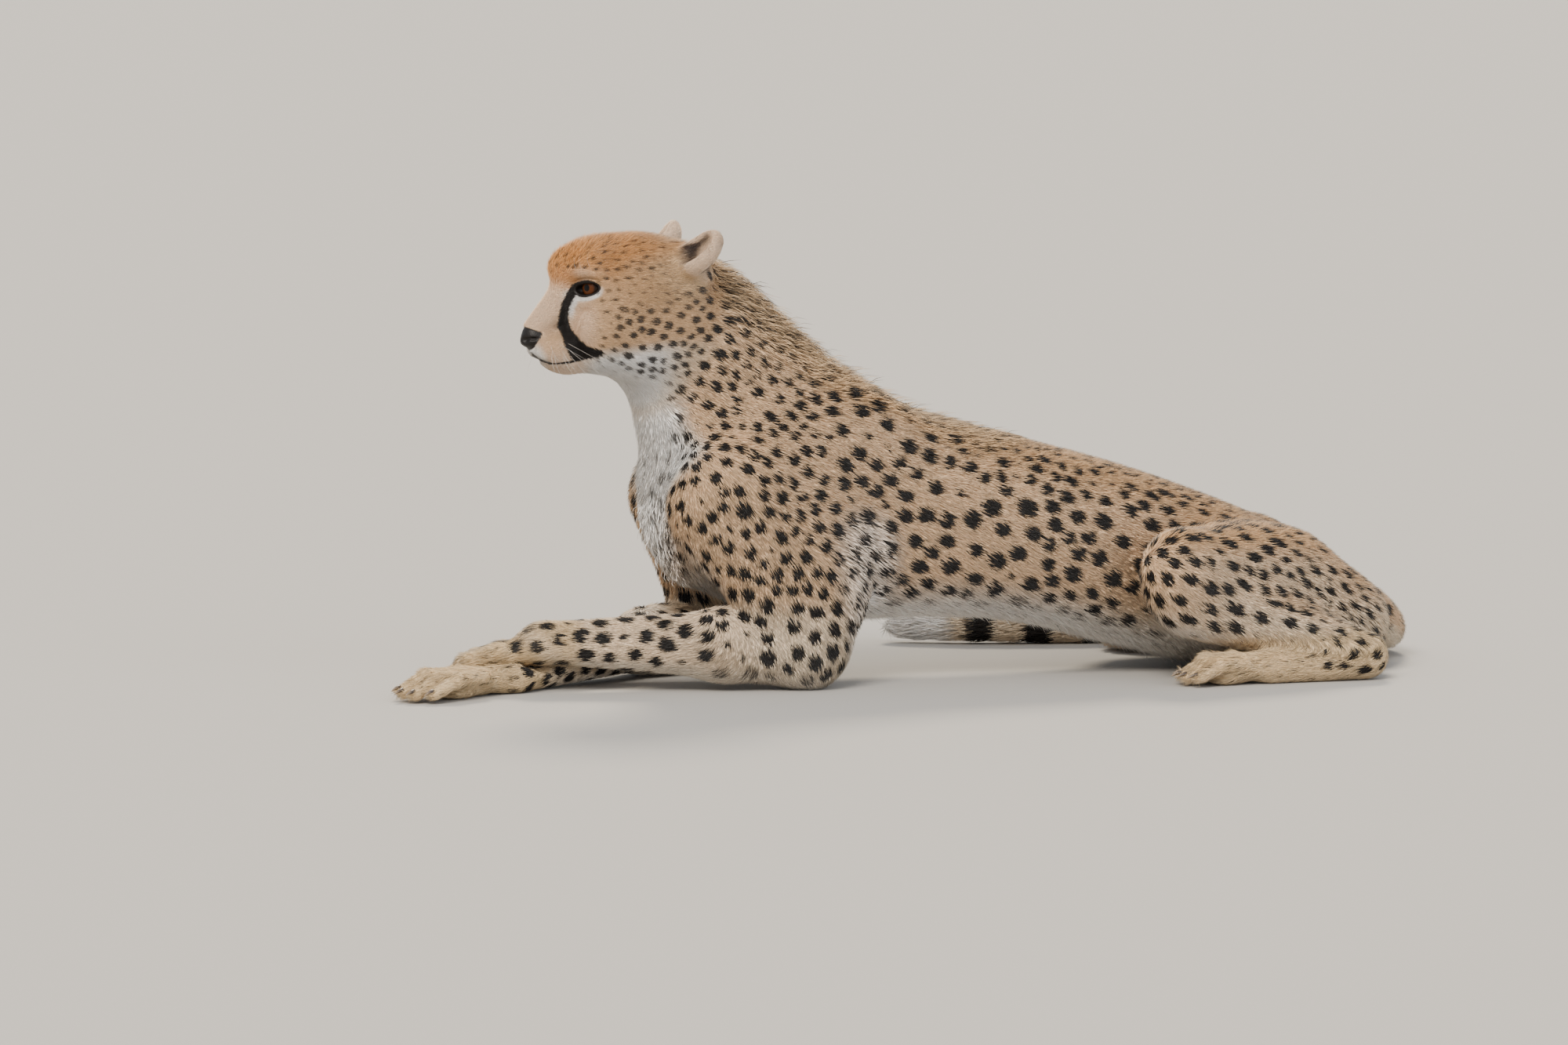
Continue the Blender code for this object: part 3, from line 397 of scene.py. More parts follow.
def tail_stations():
    """Places along the tail at even steps of its path, with the radius at each."""
    path = np.array(TAIL_PATH)
    at = np.linspace(0, len(path) - 1, TAIL_STEPS + 1)
    places = np.stack([curve_through(np.arange(len(path)), path[:, k], at) for k in range(3)], axis=1)
    at = np.linspace(0, len(TAIL_RADII) - 1, TAIL_STEPS + 1)
    return places, curve_through(np.arange(len(TAIL_RADII)), np.array(TAIL_RADII), at)


def tail_masses(first, last):
    """The tail between two steps of its path. It lies on the floor in a curve round the right haunch."""
    places, radii = tail_stations()
    steps = range(max(first, 0), min(last, TAIL_STEPS))
    return [
        bone(places[i], places[i + 1], radii[i], radii[i + 1], blend=0.03 if i == 0 else 0.004) for i in steps
    ]


def head_masses():
    """Skull, muzzle, jaw and brow in the head's frame, with the right half folded onto the left."""
    skull = (
        (-0.108, 0.024, 0.040, -0.010),
        (-0.085, 0.050, 0.070, -0.040),
        (-0.055, 0.062, 0.085, -0.055),
        (-0.020, 0.066, 0.089, -0.060),
        (0.008, 0.061, 0.086, -0.061),
        (0.028, 0.048, 0.078, -0.060),
        (0.045, 0.032, 0.064, -0.058),
        (0.059, 0.022, 0.042, -0.050),
    )
    return [
        loft((0, 0, 0), (1, 0, 0), (0, 0, 1), skull, 2.1, blend=0.02),
        ball((0.0435, 0.0, 0.0510), (0.0335, 0.0270, 0.0290), blend=0.014),
        ball((0.0320, 0.0230, 0.0560), (0.0260, 0.0230, 0.0220), blend=0.015),
        ball((0.0190, 0.0000, 0.0660), (0.0320, 0.0340, 0.0212), blend=0.012),
        bone((0.050, 0.016, 0.044), (0.032, 0.040, 0.045), 0.0085, 0.0075, blend=0.014),
        bone((0.059, 0.0, 0.018), (0.087, 0.0, -0.0165), 0.0185, 0.0160, flat=0.9, blend=0.014),
        ball((0.010, 0.038, -0.014), (0.044, 0.030, 0.042), blend=0.025),
        ball((0.034, 0.036, -0.008), (0.026, 0.017, 0.018), blend=0.015),
        ball((0.067, 0.0165, -0.0345), (0.0265, 0.0190, 0.0195), turn=(0, 10, -8), blend=0.008),
        ball((0.0805, 0.0, -0.0385), (0.0160, 0.0130, 0.0130), blend=0.006),
        ball((0.060, 0.0, -0.051), (0.0205, 0.019, 0.0125), blend=0.009),
        bone((0.050, 0.010, -0.048), (-0.015, 0.036, -0.040), 0.013, 0.024, blend=0.02),
        ball((0.0918, 0.0, -0.0250), (0.0152, 0.0150, 0.0110), turn=(0, 22, 0), blend=0.006),
        ball((0.0545, 0.0400, 0.0270), (0.0200, 0.0135, 0.0130), turn=(0, 10, -38), blend=0.012, carve=True),
        ball((0.069, 0.032, 0.002), (0.018, 0.010, 0.022), turn=(0, 0, -20), blend=0.014, carve=True),
    ]


EYE_PLACE = Vector((0.0282, 0.0255, 0.0290))  # the middle of the eyeball
EYE_LOOK = Vector((0.85, 0.52, 0.06)).normalized()
EYE_UP = (Vector((0, 0, 1)) - EYE_LOOK * EYE_LOOK.z).normalized()
EYE_WIDE = EYE_LOOK.cross(EYE_UP)
LID_REACH = 0.0022  # how far the lids stand over the eyeball


def lid_masses():
    """The lids: a shell over the eyeball, open along an almond slit that looks forwards and outwards."""
    angles = Matrix((EYE_LOOK, EYE_WIDE, EYE_UP)).transposed().to_euler()
    turn = [math.degrees(angle) + tilt for angle, tilt in zip(angles, (8, 0, 0), strict=True)]
    shell = EYE_RADIUS + LID_REACH
    return [
        ball(EYE_PLACE, (shell, shell, shell), blend=0.006),
        ball(
            EYE_PLACE + EYE_LOOK * EYE_RADIUS * 0.95 - EYE_UP * 0.0012,
            (0.0085, 0.0142, 0.0054),
            turn=turn,
            blend=0.002,
            carve=True,
        ),
    ]


EAR_BASE = Vector((-0.062, 0.051, 0.052))
EAR_TIP = Vector((-0.092, 0.085, 0.086))
EAR_MIDDLE = EAR_BASE.lerp(EAR_TIP, 0.44)
EAR_RISE = (EAR_TIP - EAR_BASE).normalized()
OPENING = Vector((0.45, 0.40, 0.80))  # where the ear opens to, before it is squared to its rise
EAR_FACING = (OPENING - EAR_RISE * OPENING.dot(EAR_RISE)).normalized()
EAR_WIDE = EAR_RISE.cross(EAR_FACING)


def ear_masses():
    """A round ear: a deep cup that is laid back and opens upwards, forwards and a little outwards."""
    angles = Matrix((EAR_FACING, EAR_WIDE, EAR_RISE)).transposed().to_euler()
    turn = [math.degrees(angle) for angle in angles]
    hollow = EAR_MIDDLE + EAR_FACING * 0.0135 + EAR_RISE * 0.004
    return [
        ball(EAR_MIDDLE, (0.0170, 0.0240, 0.0330), turn=turn, blend=0.010),
        ball(hollow, (0.0160, 0.0172, 0.0250), turn=turn, blend=0.004, carve=True),
    ]


def head_matrix():
    """From the head's frame to the animal's: forward is -X turned to the left, and left is -Y."""
    ahead = Vector((-math.cos(HEAD_TURN), -math.sin(HEAD_TURN), 0))
    left = Vector((0, 0, 1)).cross(ahead)
    turn = Matrix((ahead, left, Vector((0, 0, 1)))).transposed()
    return Matrix.Translation(HEAD_PLACE) @ turn.to_4x4()


def into_head(points):
    """Points in the head's frame, with its right half folded onto the left."""
    inverse = np.array(head_matrix().inverted())
    local = points @ inverse[:3, :3].T + inverse[:3, 3]
    local[:, 1] = np.abs(local[:, 1])
    return local


HEAD_BLEND = 0.035
HEAD_REACH = 0.20
ELBOW_REACH = 0.12  # how far from the elbow the forearm still blends into the upper arm


def body_form(points):
    """The signed distance to the coat of the trunk, neck, head, upper legs, hind legs and tail's root."""
    body = [*trunk_masses(), *neck_masses(), *tail_masses(0, 3)]
    for side in (LEFT, RIGHT):
        body += upper_foreleg_masses(side) + hindleg_masses(side)
    found = distance_to(body, points)
    near = np.flatnonzero(away_from(points, HEAD_PLACE) < HEAD_REACH)
    head = distance_to(head_masses() + lid_masses() + ear_masses(), into_head(points[near]))
    found[near] = joined(found[near], head, HEAD_BLEND)
    return found


def left_foreleg_form(points):
    return distance_to(lower_foreleg_masses(LEFT), points)


def right_foreleg_form(points):
    """The right forearm and paw, pressed in where the left foreleg lies over them."""
    leg = distance_to(lower_foreleg_masses(RIGHT), points)
    return np.maximum(leg, CLEARANCE - left_foreleg_form(points))


def elbow_blend(side, points):
    """How softly a forearm blends into the body: fully at the elbow, hardly at all past ELBOW_REACH."""
    away = away_from(points, ELBOW[side])
    return 0.022 * np.clip(1 - away / ELBOW_REACH, 0.02, 1)


# ---------------------------------------------------------------- the skin's form, under the coat

# The row's origin in the modelling frame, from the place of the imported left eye.
HOME = head_matrix() @ EYE_PLACE - (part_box("eye_left")[0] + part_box("eye_left")[1]) / 2
MANE_LINE = ((-0.300, 0, 0.462), (-0.180, 0, 0.398), (-0.125, 0, 0.352))
MANE_LINE += ((-0.075, 0, 0.312), (0.020, 0, 0.276))
BELLY_LINE = ((-0.320, 0, 0.130), (-0.200, 0, 0.020), (0.100, 0, 0.010), (0.300, 0, 0.0))
MOUTH_LINE = ((0.0960, 0.000, -0.0400), (0.0880, 0.006, -0.0475), (0.0770, 0.012, -0.0515))
MOUTH_LINE += ((0.0580, 0.020, -0.0495), (0.0440, 0.026, -0.0440), (0.0330, 0.029, -0.0385))
NOSE_PLACE = (0.0918, 0.0, -0.0248)


def soft(values, low, high):
    """A smooth step from 0 at low to 1 at high, or the other way round where low is the larger."""
    t = np.clip((values - low) / (high - low), 0, 1)
    return t * t * (3 - 2 * t)


def to_line(points, line, axes=(0, 1, 2)):
    """The distance from each point to a chain of straight lengths, and how far along it the nearest place is,
    as a share."""
    axes = list(axes)
    corners = np.array(line, float)[:, axes]
    flat = points[:, axes]
    best = np.full(len(points), 9.0)
    share = np.zeros(len(points))
    for i, (start, end) in enumerate(zip(corners, corners[1:], strict=False)):
        run = end - start
        t = np.clip((flat - start) @ run / (run @ run), 0, 1)
        away = np.linalg.norm(flat - start - t[:, None] * run, axis=1)
        nearer = away < best
        best[nearer] = away[nearer]
        share[nearer] = (i + t[nearer]) / (len(corners) - 1)
    return best, share


def eye_frame():
    """The eye's own axes in the head's frame: where it looks, along the slit, and up across it."""
    tilt = Matrix.Rotation(math.radians(9), 3, EYE_LOOK)
    return np.array([EYE_LOOK, tilt @ EYE_WIDE, tilt @ EYE_UP])


def coat_depth(points):
    """How far the skin lies under the coat's tips: most on the nape, least on the muzzle, lids and ears."""
    head = into_head(points)
    depth = np.full(len(points), 0.0055)
    mane, share = to_line(points, MANE_LINE)
    depth += 0.0115 * soft(mane, 0.075, 0.020) * np.sin(np.pi * np.clip(share * 0.85 + 0.12, 0, 1))
    depth += 0.0025 * soft(to_line(points, BELLY_LINE)[0], 0.10, 0.04)
    legs = np.full(len(points), 9.0)
    for side in SIDE_NAMES:
        flip = np.array((1, side, 1))
        legs = np.minimum(legs, to_line(points, (ELBOW[side], WRIST[side], FORE_TOES[side]))[0])
        legs = np.minimum(legs, to_line(points * flip, (HOCK, HIND_TOES))[0])
    depth -= 0.0020 * soft(legs, 0.075, 0.035)
    from_skull = away_from(head, (0.01, 0.02, 0.0))
    depth += (0.0026 - depth) * soft(from_skull, 0.115, 0.085)
    from_lips = away_from(head, (0.085, 0.0, -0.035))
    depth += (0.0012 - depth) * soft(from_lips, 0.060, 0.022)
    depth += 0.0050 * dent(head, (0.036, 0.0, 0.076), (0.058, 0.038, 0.028))
    from_ear = to_line(head, (EAR_BASE.lerp(EAR_TIP, 0.1), EAR_TIP))[0]
    depth += (0.0012 - depth) * soft(from_ear, 0.045, 0.030)
    from_eye = away_from(head, EYE_PLACE)
    return depth + (0.0004 - depth) * soft(from_eye, 0.034, 0.019)


def dent(points, middle, radii):
    """A soft bump of height 1 about a middle, which falls off as a bell with the three radii."""
    return np.exp(-(((points - np.array(middle)) / np.array(radii)) ** 2).sum(axis=1))


def face_relief(head):
    """How far the face's own folds lie below the plain form, in the head's frame: the mouth's crease,
    nostrils, the groove under the nose, the rims of the lids, the fold over the brow, and the rows that the
    whiskers grow from."""
    sunk = np.zeros(len(head))
    mouth = to_line(head, MOUTH_LINE, (0, 2))[0]
    outer = soft(head[:, 1], 0.001, 0.004)
    ahead = soft(head[:, 0], 0.026, 0.038)
    sunk += (0.0021 * np.exp(-((mouth / 0.0018) ** 2)) - 0.0007 * np.exp(-((mouth / 0.0055) ** 2))) * ahead
    sunk += 0.0050 * dent(head, (0.1020, 0.0072, -0.0265), (0.0050, 0.0030, 0.0026))
    sunk += 0.0030 * dent(head, (0.0955, 0.0125, -0.0250), (0.0065, 0.0040, 0.0016))
    below_nose = soft(head[:, 2], -0.029, -0.034) * soft(head[:, 2], -0.049, -0.043)
    below_nose *= soft(head[:, 0], 0.070, 0.085)
    sunk += 0.0022 * np.exp(-((head[:, 1] / 0.0011) ** 2)) * below_nose
    nose_edge = np.linalg.norm((head - np.array(NOSE_PLACE)) / (0.0180, 0.0160, 0.0120), axis=1)
    sunk += 0.0008 * np.exp(-(((nose_edge - 1.02) / 0.07) ** 2)) * soft(head[:, 0], 0.078, 0.086)
    pad = dent(head, (0.073, 0.020, -0.036), (0.020, 0.02, 0.012))
    sunk -= 0.0016 * pad * outer
    rows = np.sin((head[:, 2] + 0.13 * head[:, 0]) * 2 * np.pi / 0.0052)
    rows *= np.sin(head[:, 0] * 2 * np.pi / 0.0058)
    sunk += 0.00028 * rows * pad * outer
    sunk += 0.0022 * dent(head, (0.047, 0.039, 0.006), (0.016, 0.012, 0.0045))
    sunk -= 0.0020 * dent(head, (0.040, 0.036, 0.046), (0.016, 0.014, 0.0045))
    sunk += 0.0015 * dent(head, (0.010, 0.055, 0.028), (0.018, 0.012, 0.006))
    return sunk


def lid_relief(head):
    """The lids' fold in the eye's own frame: a raised rim round the slit, and a crease above it."""
    local = (head - np.array(EYE_PLACE)) @ eye_frame().T
    across, up = local[:, 1], local[:, 2]
    bow = (1 - np.clip(across / 0.0175, -1, 1) ** 2) ** 0.8
    upper = up - 0.0045 * bow
    lower = up + 0.0070 * bow
    front = soft(local[:, 0], 0.002, 0.008)
    sunk = 0.0016 * np.exp(-(((upper - 0.0062) / 0.0016) ** 2))
    sunk -= 0.0010 * np.exp(-(((upper - 0.0025) / 0.0018) ** 2))
    sunk += 0.0009 * np.exp(-(((lower + 0.0055) / 0.0016) ** 2))
    return sunk * front * soft(np.abs(across), 0.024, 0.014)


def skin_form(points):
    """The signed distance to the whole skin: every mass of the body, pressed in by the coat's depth and the
    folds of the face, with both forelegs and the tail, and cut flat on the floor."""
    found = body_form(points)
    left, right = left_foreleg_form(points), right_foreleg_form(points)
    found = joined(found, left, elbow_blend(LEFT, points))
    found = joined(found, right, elbow_blend(RIGHT, points))
    found = joined(found, distance_to(tail_masses(2, TAIL_STEPS), points), 0.004)
    found = found + coat_depth(points)
    near = np.flatnonzero(away_from(points, HEAD_PLACE) < 0.15)
    head = into_head(points[near])
    found[near] += face_relief(head) + lid_relief(head)
    return np.maximum(found, SOLE - points[:, 2])


SOLE = 0.0008  # the skin's flat places lie this far above the floor, and the hair under them fills the gap


# ---------------------------------------------------------------- from the form to a mesh


def values_on_grid(distance, low, counts, cell, levels):
    """The distance at each point of a grid. It is worked out on a grid twice as coarse first, and then
    again only at the points that lie near the surface, so far points keep the coarse value."""
    if levels == 0:
        near = np.full(counts, True)
        values = np.zeros(counts)
    else:
        coarse = values_on_grid(distance, low, [count // 2 + 1 for count in counts], cell * 2, levels - 1)
        for axis in range(3):
            coarse = np.repeat(coarse, 2, axis=axis)
        values = coarse[: counts[0], : counts[1], : counts[2]].copy()
        near = np.abs(values) < cell * 6
    places = np.argwhere(near)
    values[near] = distance(places * cell + np.array(low))
    return values


def without_pinches(values):
    """Fills in the places where the form meets itself only along a grid edge: a face of the grid whose two
    diagonals lie on opposite sides of the surface would give four surface quads one common edge."""
    pinched = True
    while pinched:
        pinched = False
        for u, v in ((0, 1), (0, 2), (1, 2)):
            corners = []
            for i in (0, 1):
                for j in (0, 1):
                    part = [slice(None)] * 3
                    part[u] = slice(i, values.shape[u] - 1 + i)
                    part[v] = slice(j, values.shape[v] - 1 + j)
                    corners.append(values[tuple(part)])
            a, b, c, d = (corner < 0 for corner in corners)
            crossed = (a == d) & (b == c) & (a != b)
            if crossed.any():
                pinched = True
                for corner in corners:
                    corner[crossed] = -np.abs(corner[crossed]) - 1e-6
    return values


def surface_net(distance, low, high, cell):
    """A closed quad mesh of the zero level of distance on a grid. Each cell that the surface passes through
    gets one vertex, the mean of the points where the cell's edges cross the surface, and each crossed edge
    gets one quad."""
    counts = [int((b - a) / cell) + 2 for a, b in zip(low, high, strict=True)]
    values = without_pinches(values_on_grid(distance, low, counts, cell, 2))
    inside = values < 0
    cells = [count - 1 for count in counts]
    total = np.zeros((*cells, 3))
    crossings = np.zeros(cells)
    edges = []
    for axis in range(3):
        first = [slice(None)] * 3
        second = [slice(None)] * 3
        first[axis], second[axis] = slice(0, -1), slice(1, None)
        a, b = values[tuple(first)], values[tuple(second)]
        crossed = inside[tuple(first)] != inside[tuple(second)]
        share = np.where(crossed, a / np.where(crossed, a - b, 1), 0)
        edges.append((crossed, inside[tuple(first)]))
        others = [k for k in range(3) if k != axis]
        for i in (0, 1):
            for j in (0, 1):
                part = [slice(None)] * 3
                part[others[0]] = slice(i, i + cells[others[0]])
                part[others[1]] = slice(j, j + cells[others[1]])
                hit = crossed[tuple(part)]
                crossings += hit
                total[..., axis] += share[tuple(part)]
                total[..., others[0]] += i * hit
                total[..., others[1]] += j * hit
    used = crossings > 0
    index = np.full(cells, -1)
    index[used] = np.arange(used.sum())
    points = (np.argwhere(used) + total[used] / crossings[used][:, None]) * cell + np.array(low)
    quads = []
    for axis in range(3):
        crossed, starts_inside = edges[axis]
        u, v = ((1, 2), (2, 0), (0, 1))[axis]
        places = np.argwhere(crossed)
        own_u, own_v = places[:, u], places[:, v]
        places = places[(own_u > 0) & (own_v > 0) & (own_u < cells[u]) & (own_v < cells[v])]
        ring = []
        for du, dv in ((1, 1), (0, 1), (0, 0), (1, 0)):
            step = places.copy()
            step[:, u] -= du
            step[:, v] -= dv
            ring.append(index[tuple(step.T)])
        faces = np.stack(ring, axis=1)
        turned = ~starts_inside[tuple(places.T)]
        faces[turned] = faces[turned][:, ::-1]
        quads.append(faces)
    return points, np.concatenate(quads)


# ---------------------------------------------------------------- the skin as one mesh


def fill_mesh(name, points, faces, uv=None):
    """A new object at the origin from an array of points and one of faces with equal numbers of corners."""
    count, corners = faces.shape
    mesh = bpy.data.meshes.new(name)
    mesh.vertices.add(len(points))
    mesh.vertices.foreach_set("co", np.ascontiguousarray(points, np.float32).ravel())
    mesh.loops.add(count * corners)
    mesh.loops.foreach_set("vertex_index", np.ascontiguousarray(faces, np.int32).ravel())
    mesh.polygons.add(count)
    mesh.polygons.foreach_set("loop_start", np.arange(0, count * corners, corners, dtype=np.int32))
    mesh.polygons.foreach_set("use_smooth", np.ones(count, bool))
    if uv is not None:
        layer = mesh.uv_layers.new(name="OFBake")
        layer.uv.foreach_set("vector", np.ascontiguousarray(uv, np.float32).ravel())
    mesh.update(calc_edges=True)
    obj = bpy.data.objects.new(name, mesh)
    bpy.context.scene.collection.objects.link(obj)
    return obj


def read(mesh, kind, width=3):
    """One of a mesh's arrays: its points, or an attribute's values."""
    if kind == "co":
        found = np.empty(len(mesh.vertices) * 3, np.float32)
        mesh.vertices.foreach_get("co", found)
        return found.reshape(-1, 3).astype(float)
    layer = mesh.attributes[kind]
    key = {"FLOAT": "value", "FLOAT_VECTOR": "vector", "FLOAT_COLOR": "color"}[layer.data_type]
    found = np.empty(len(layer.data) * width, np.float32)
    layer.data.foreach_get(key, found)
    return (found.reshape(-1, width) if width > 1 else found).astype(float)


def corners_of(parts, count):
    """The numbers of the points at the corners of a mesh's edges or triangles."""
    found = np.empty(len(parts) * count, np.int32)
    parts.foreach_get("vertices", found)
    return found.reshape(-1, count)


def keep(mesh, name, values, kind="FLOAT"):
    """Stores values in a mesh as a point attribute."""
    key = {"FLOAT": "value", "FLOAT_VECTOR": "vector", "FLOAT_COLOR": "color"}[kind]
    layer = mesh.attributes.new(name, kind, "POINT")
    layer.data.foreach_set(key, np.ascontiguousarray(values, np.float32).ravel())


def onto(form, points, rounds=3, step=0.0004, most=0.0012):
    """Moves points onto a form's surface, along its slope, by the distance over the slope squared."""
    offsets = np.array(((1, 1, 1), (1, -1, -1), (-1, 1, -1), (-1, -1, 1)), float)
    slope = np.zeros_like(points)
    for _ in range(rounds):
        values = [form(points + offset * step) for offset in offsets]
        slope = sum(offset * value[:, None] for offset, value in zip(offsets, values, strict=True))
        slope = slope / (4 * step)
        size = np.maximum((slope**2).sum(axis=1), 0.3)
        move = slope * (sum(values) / 4 / size)[:, None]
        length = np.linalg.norm(move, axis=1, keepdims=True)
        points = points - move * np.minimum(1, most / np.maximum(length, 1e-9))
    return points


def refine(mesh, near):
    """Splits each face whose corners are all in near into four, and its neighbours as needed."""
    edges = corners_of(mesh.edges, 2)
    build = bmesh.new()
    build.from_mesh(mesh)
    build.edges.ensure_lookup_table()
    chosen = [build.edges[i] for i in np.flatnonzero(near[edges].all(axis=1))]
    bmesh.ops.subdivide_edges(build, edges=chosen, cuts=1, use_grid_fill=True)
    build.to_mesh(mesh)
    build.free()


SKIN_ROOM = ((-0.70, -0.25, -0.012), (0.58, 0.33, 0.52))  # the corners of the net's grid


def skin_mesh(cell):
    """The skin as one closed mesh: a net over the form, split finer on the head and paws, finest about the
    eyes, nose and mouth, and moved onto the form again after each split. The points are still in the
    modelling frame."""
    points, quads = surface_net(skin_form, *SKIN_ROOM, cell)
    obj = fill_mesh("skin", points, quads)
    mesh = obj.data
    for level in range(3):
        points = read(mesh, "co")
        head = into_head(points)
        if level == 0:
            near = away_from(head, (0.005, 0.02, 0.010)) < 0.122
            for side in SIDE_NAMES:
                toes = np.array(WRIST[side].lerp(FORE_TOES[side], 0.55))
                near |= away_from(points, toes) < 0.075
                toes = np.array(HOCK.lerp(HIND_TOES, 0.76) * Vector((1, side, 1)))
                near |= away_from(points, toes) < 0.062
        elif level == 1:
            near = away_from(head, (0.088, 0.01, -0.035)) < 0.046
            near |= away_from(head, (0.050, 0.028, -0.035)) < 0.032
            near |= away_from(head, EYE_PLACE) < 0.034
            near |= to_line(head, (EAR_BASE.lerp(EAR_TIP, 0.2), EAR_TIP))[0] < 0.026
        else:
            lids = np.array(EYE_PLACE + EYE_LOOK * EYE_RADIUS)
            near = away_from(head, lids) < 0.0165
            near |= away_from(head, (0.100, 0.008, -0.026)) < 0.011
        refine(mesh, near)
        before = len(points)
        points = read(mesh, "co")
        moved = np.concatenate([near, np.ones(len(points) - before, bool)])
        points[moved] = onto(skin_form, points[moved])
        mesh.vertices.foreach_set("co", points.astype(np.float32).ravel())
        mesh.update()
    return obj


# ---------------------------------------------------------------- the lie of the hair and the markings

# Each stream is a straight length that the hair near it runs along: start, end, and how far its pull
# reaches. The body's are in the modelling frame, and each one off the middle has a twin on the other side.
# The head's are in its own frame.
BODY_STREAMS = (
    ((-0.330, 0.000, 0.420), (-0.130, 0.000, 0.300), 0.070),
    ((-0.130, 0.000, 0.270), (0.180, 0.000, 0.180), 0.090),
    ((-0.200, 0.060, 0.190), (0.150, 0.070, 0.130), 0.080),
    ((0.180, 0.000, 0.180), (0.440, 0.000, 0.080), 0.090),
    ((-0.360, 0.000, 0.320), (-0.310, 0.000, 0.140), 0.050),
    ((-0.310, 0.040, 0.140), (-0.150, 0.040, 0.020), 0.050),
    ((0.240, 0.130, 0.170), (0.400, 0.110, 0.120), 0.050),
    ((0.400, 0.110, 0.120), (0.475, 0.060, 0.020), 0.050),
    ((0.245, 0.135, 0.110), (0.420, 0.150, 0.050), 0.030),
)
HEAD_STREAMS = (
    ((0.100, 0.000, -0.010), (0.060, 0.000, 0.045), 0.030),
    ((0.060, 0.000, 0.055), (-0.020, 0.000, 0.090), 0.045),
    ((-0.020, 0.000, 0.080), (-0.110, 0.000, 0.030), 0.050),
    ((0.090, 0.020, -0.030), (0.030, 0.035, -0.030), 0.024),
    ((0.040, 0.035, 0.000), (-0.060, 0.065, -0.010), 0.040),
    ((0.080, 0.000, -0.060), (-0.050, 0.020, -0.060), 0.030),
    ((0.000, 0.050, -0.040), (-0.080, 0.060, -0.080), 0.040),
    ((-0.062, 0.051, 0.052), (-0.092, 0.085, 0.086), 0.024),
)


def stream_pull(points, start, end, reach):
    """One stream's pull on each point: its direction over about the fourth power of the distance to it."""
    away = to_line(points, (start, end))[0] / reach
    run = np.array(end, float) - np.array(start, float)
    return (run / np.linalg.norm(run))[None] / (away**2 + 0.04)[:, None] ** 2


def laid_flat(vectors, normals):
    """Directions laid flat on the skin, at length one."""
    return unit(vectors - normals * (vectors * normals).sum(axis=1)[:, None])


def lie_of_hair(points, normals):
    """The direction of the hair at each point: the sum of the streams' pulls, with some fall towards the
    ground on the flanks, laid flat on the skin."""
    pull = np.zeros_like(points)
    for start, end, reach in BODY_STREAMS:
        for side in (LEFT, RIGHT) if start[1] or end[1] else (RIGHT,):
            flip = np.array((1, side, 1))
            pull += stream_pull(points, start * flip, end * flip, reach)
    for side in (LEFT, RIGHT):
        flip = Vector((1, side, 1))
        path = (SHOULDER[side], ELBOW[side], WRIST[side], FORE_TOES[side])
        for start, end, reach in zip(path, path[1:], (0.070, 0.036, 0.030), strict=False):
            pull += stream_pull(points, start, end, reach)
        pull += stream_pull(points, HOCK * flip, HIND_TOES * flip, 0.026)
    tail, _ = tail_stations()
    for start, end in zip(tail[2::2], tail[4::2], strict=False):
        pull += stream_pull(points, start, end, 0.020)
    matrix = np.array(head_matrix())[:3, :3]
    local = (points - np.array(HEAD_PLACE)) @ matrix
    side = np.sign(local[:, 1])
    local[:, 1] = np.abs(local[:, 1])
    face = np.zeros_like(points)
    for start, end, reach in HEAD_STREAMS:
        face += stream_pull(local, start, end, reach)
    face[:, 1] *= side
    pull += face @ matrix.T * soft(np.linalg.norm(local, axis=1), 0.15, 0.09)[:, None] * 3
    pull = unit(pull)
    fall = 0.35 * np.abs(normals[:, 1]) * soft(points[:, 0], -0.30, -0.20)
    pull[:, 2] -= fall * soft(points[:, 2], 0.03, 0.10)
    return laid_flat(pull, normals)


def on_head(head, reach):
    """How surely each point belongs to the head: 1 on the muzzle, and on the skull out to the reach."""
    skull = soft(away_from(head, (0.005, 0.02, 0.0)), reach, reach - 0.022)
    return np.maximum(skull, soft(away_from(head, (0.085, 0.0, -0.030)), 0.060, 0.045))


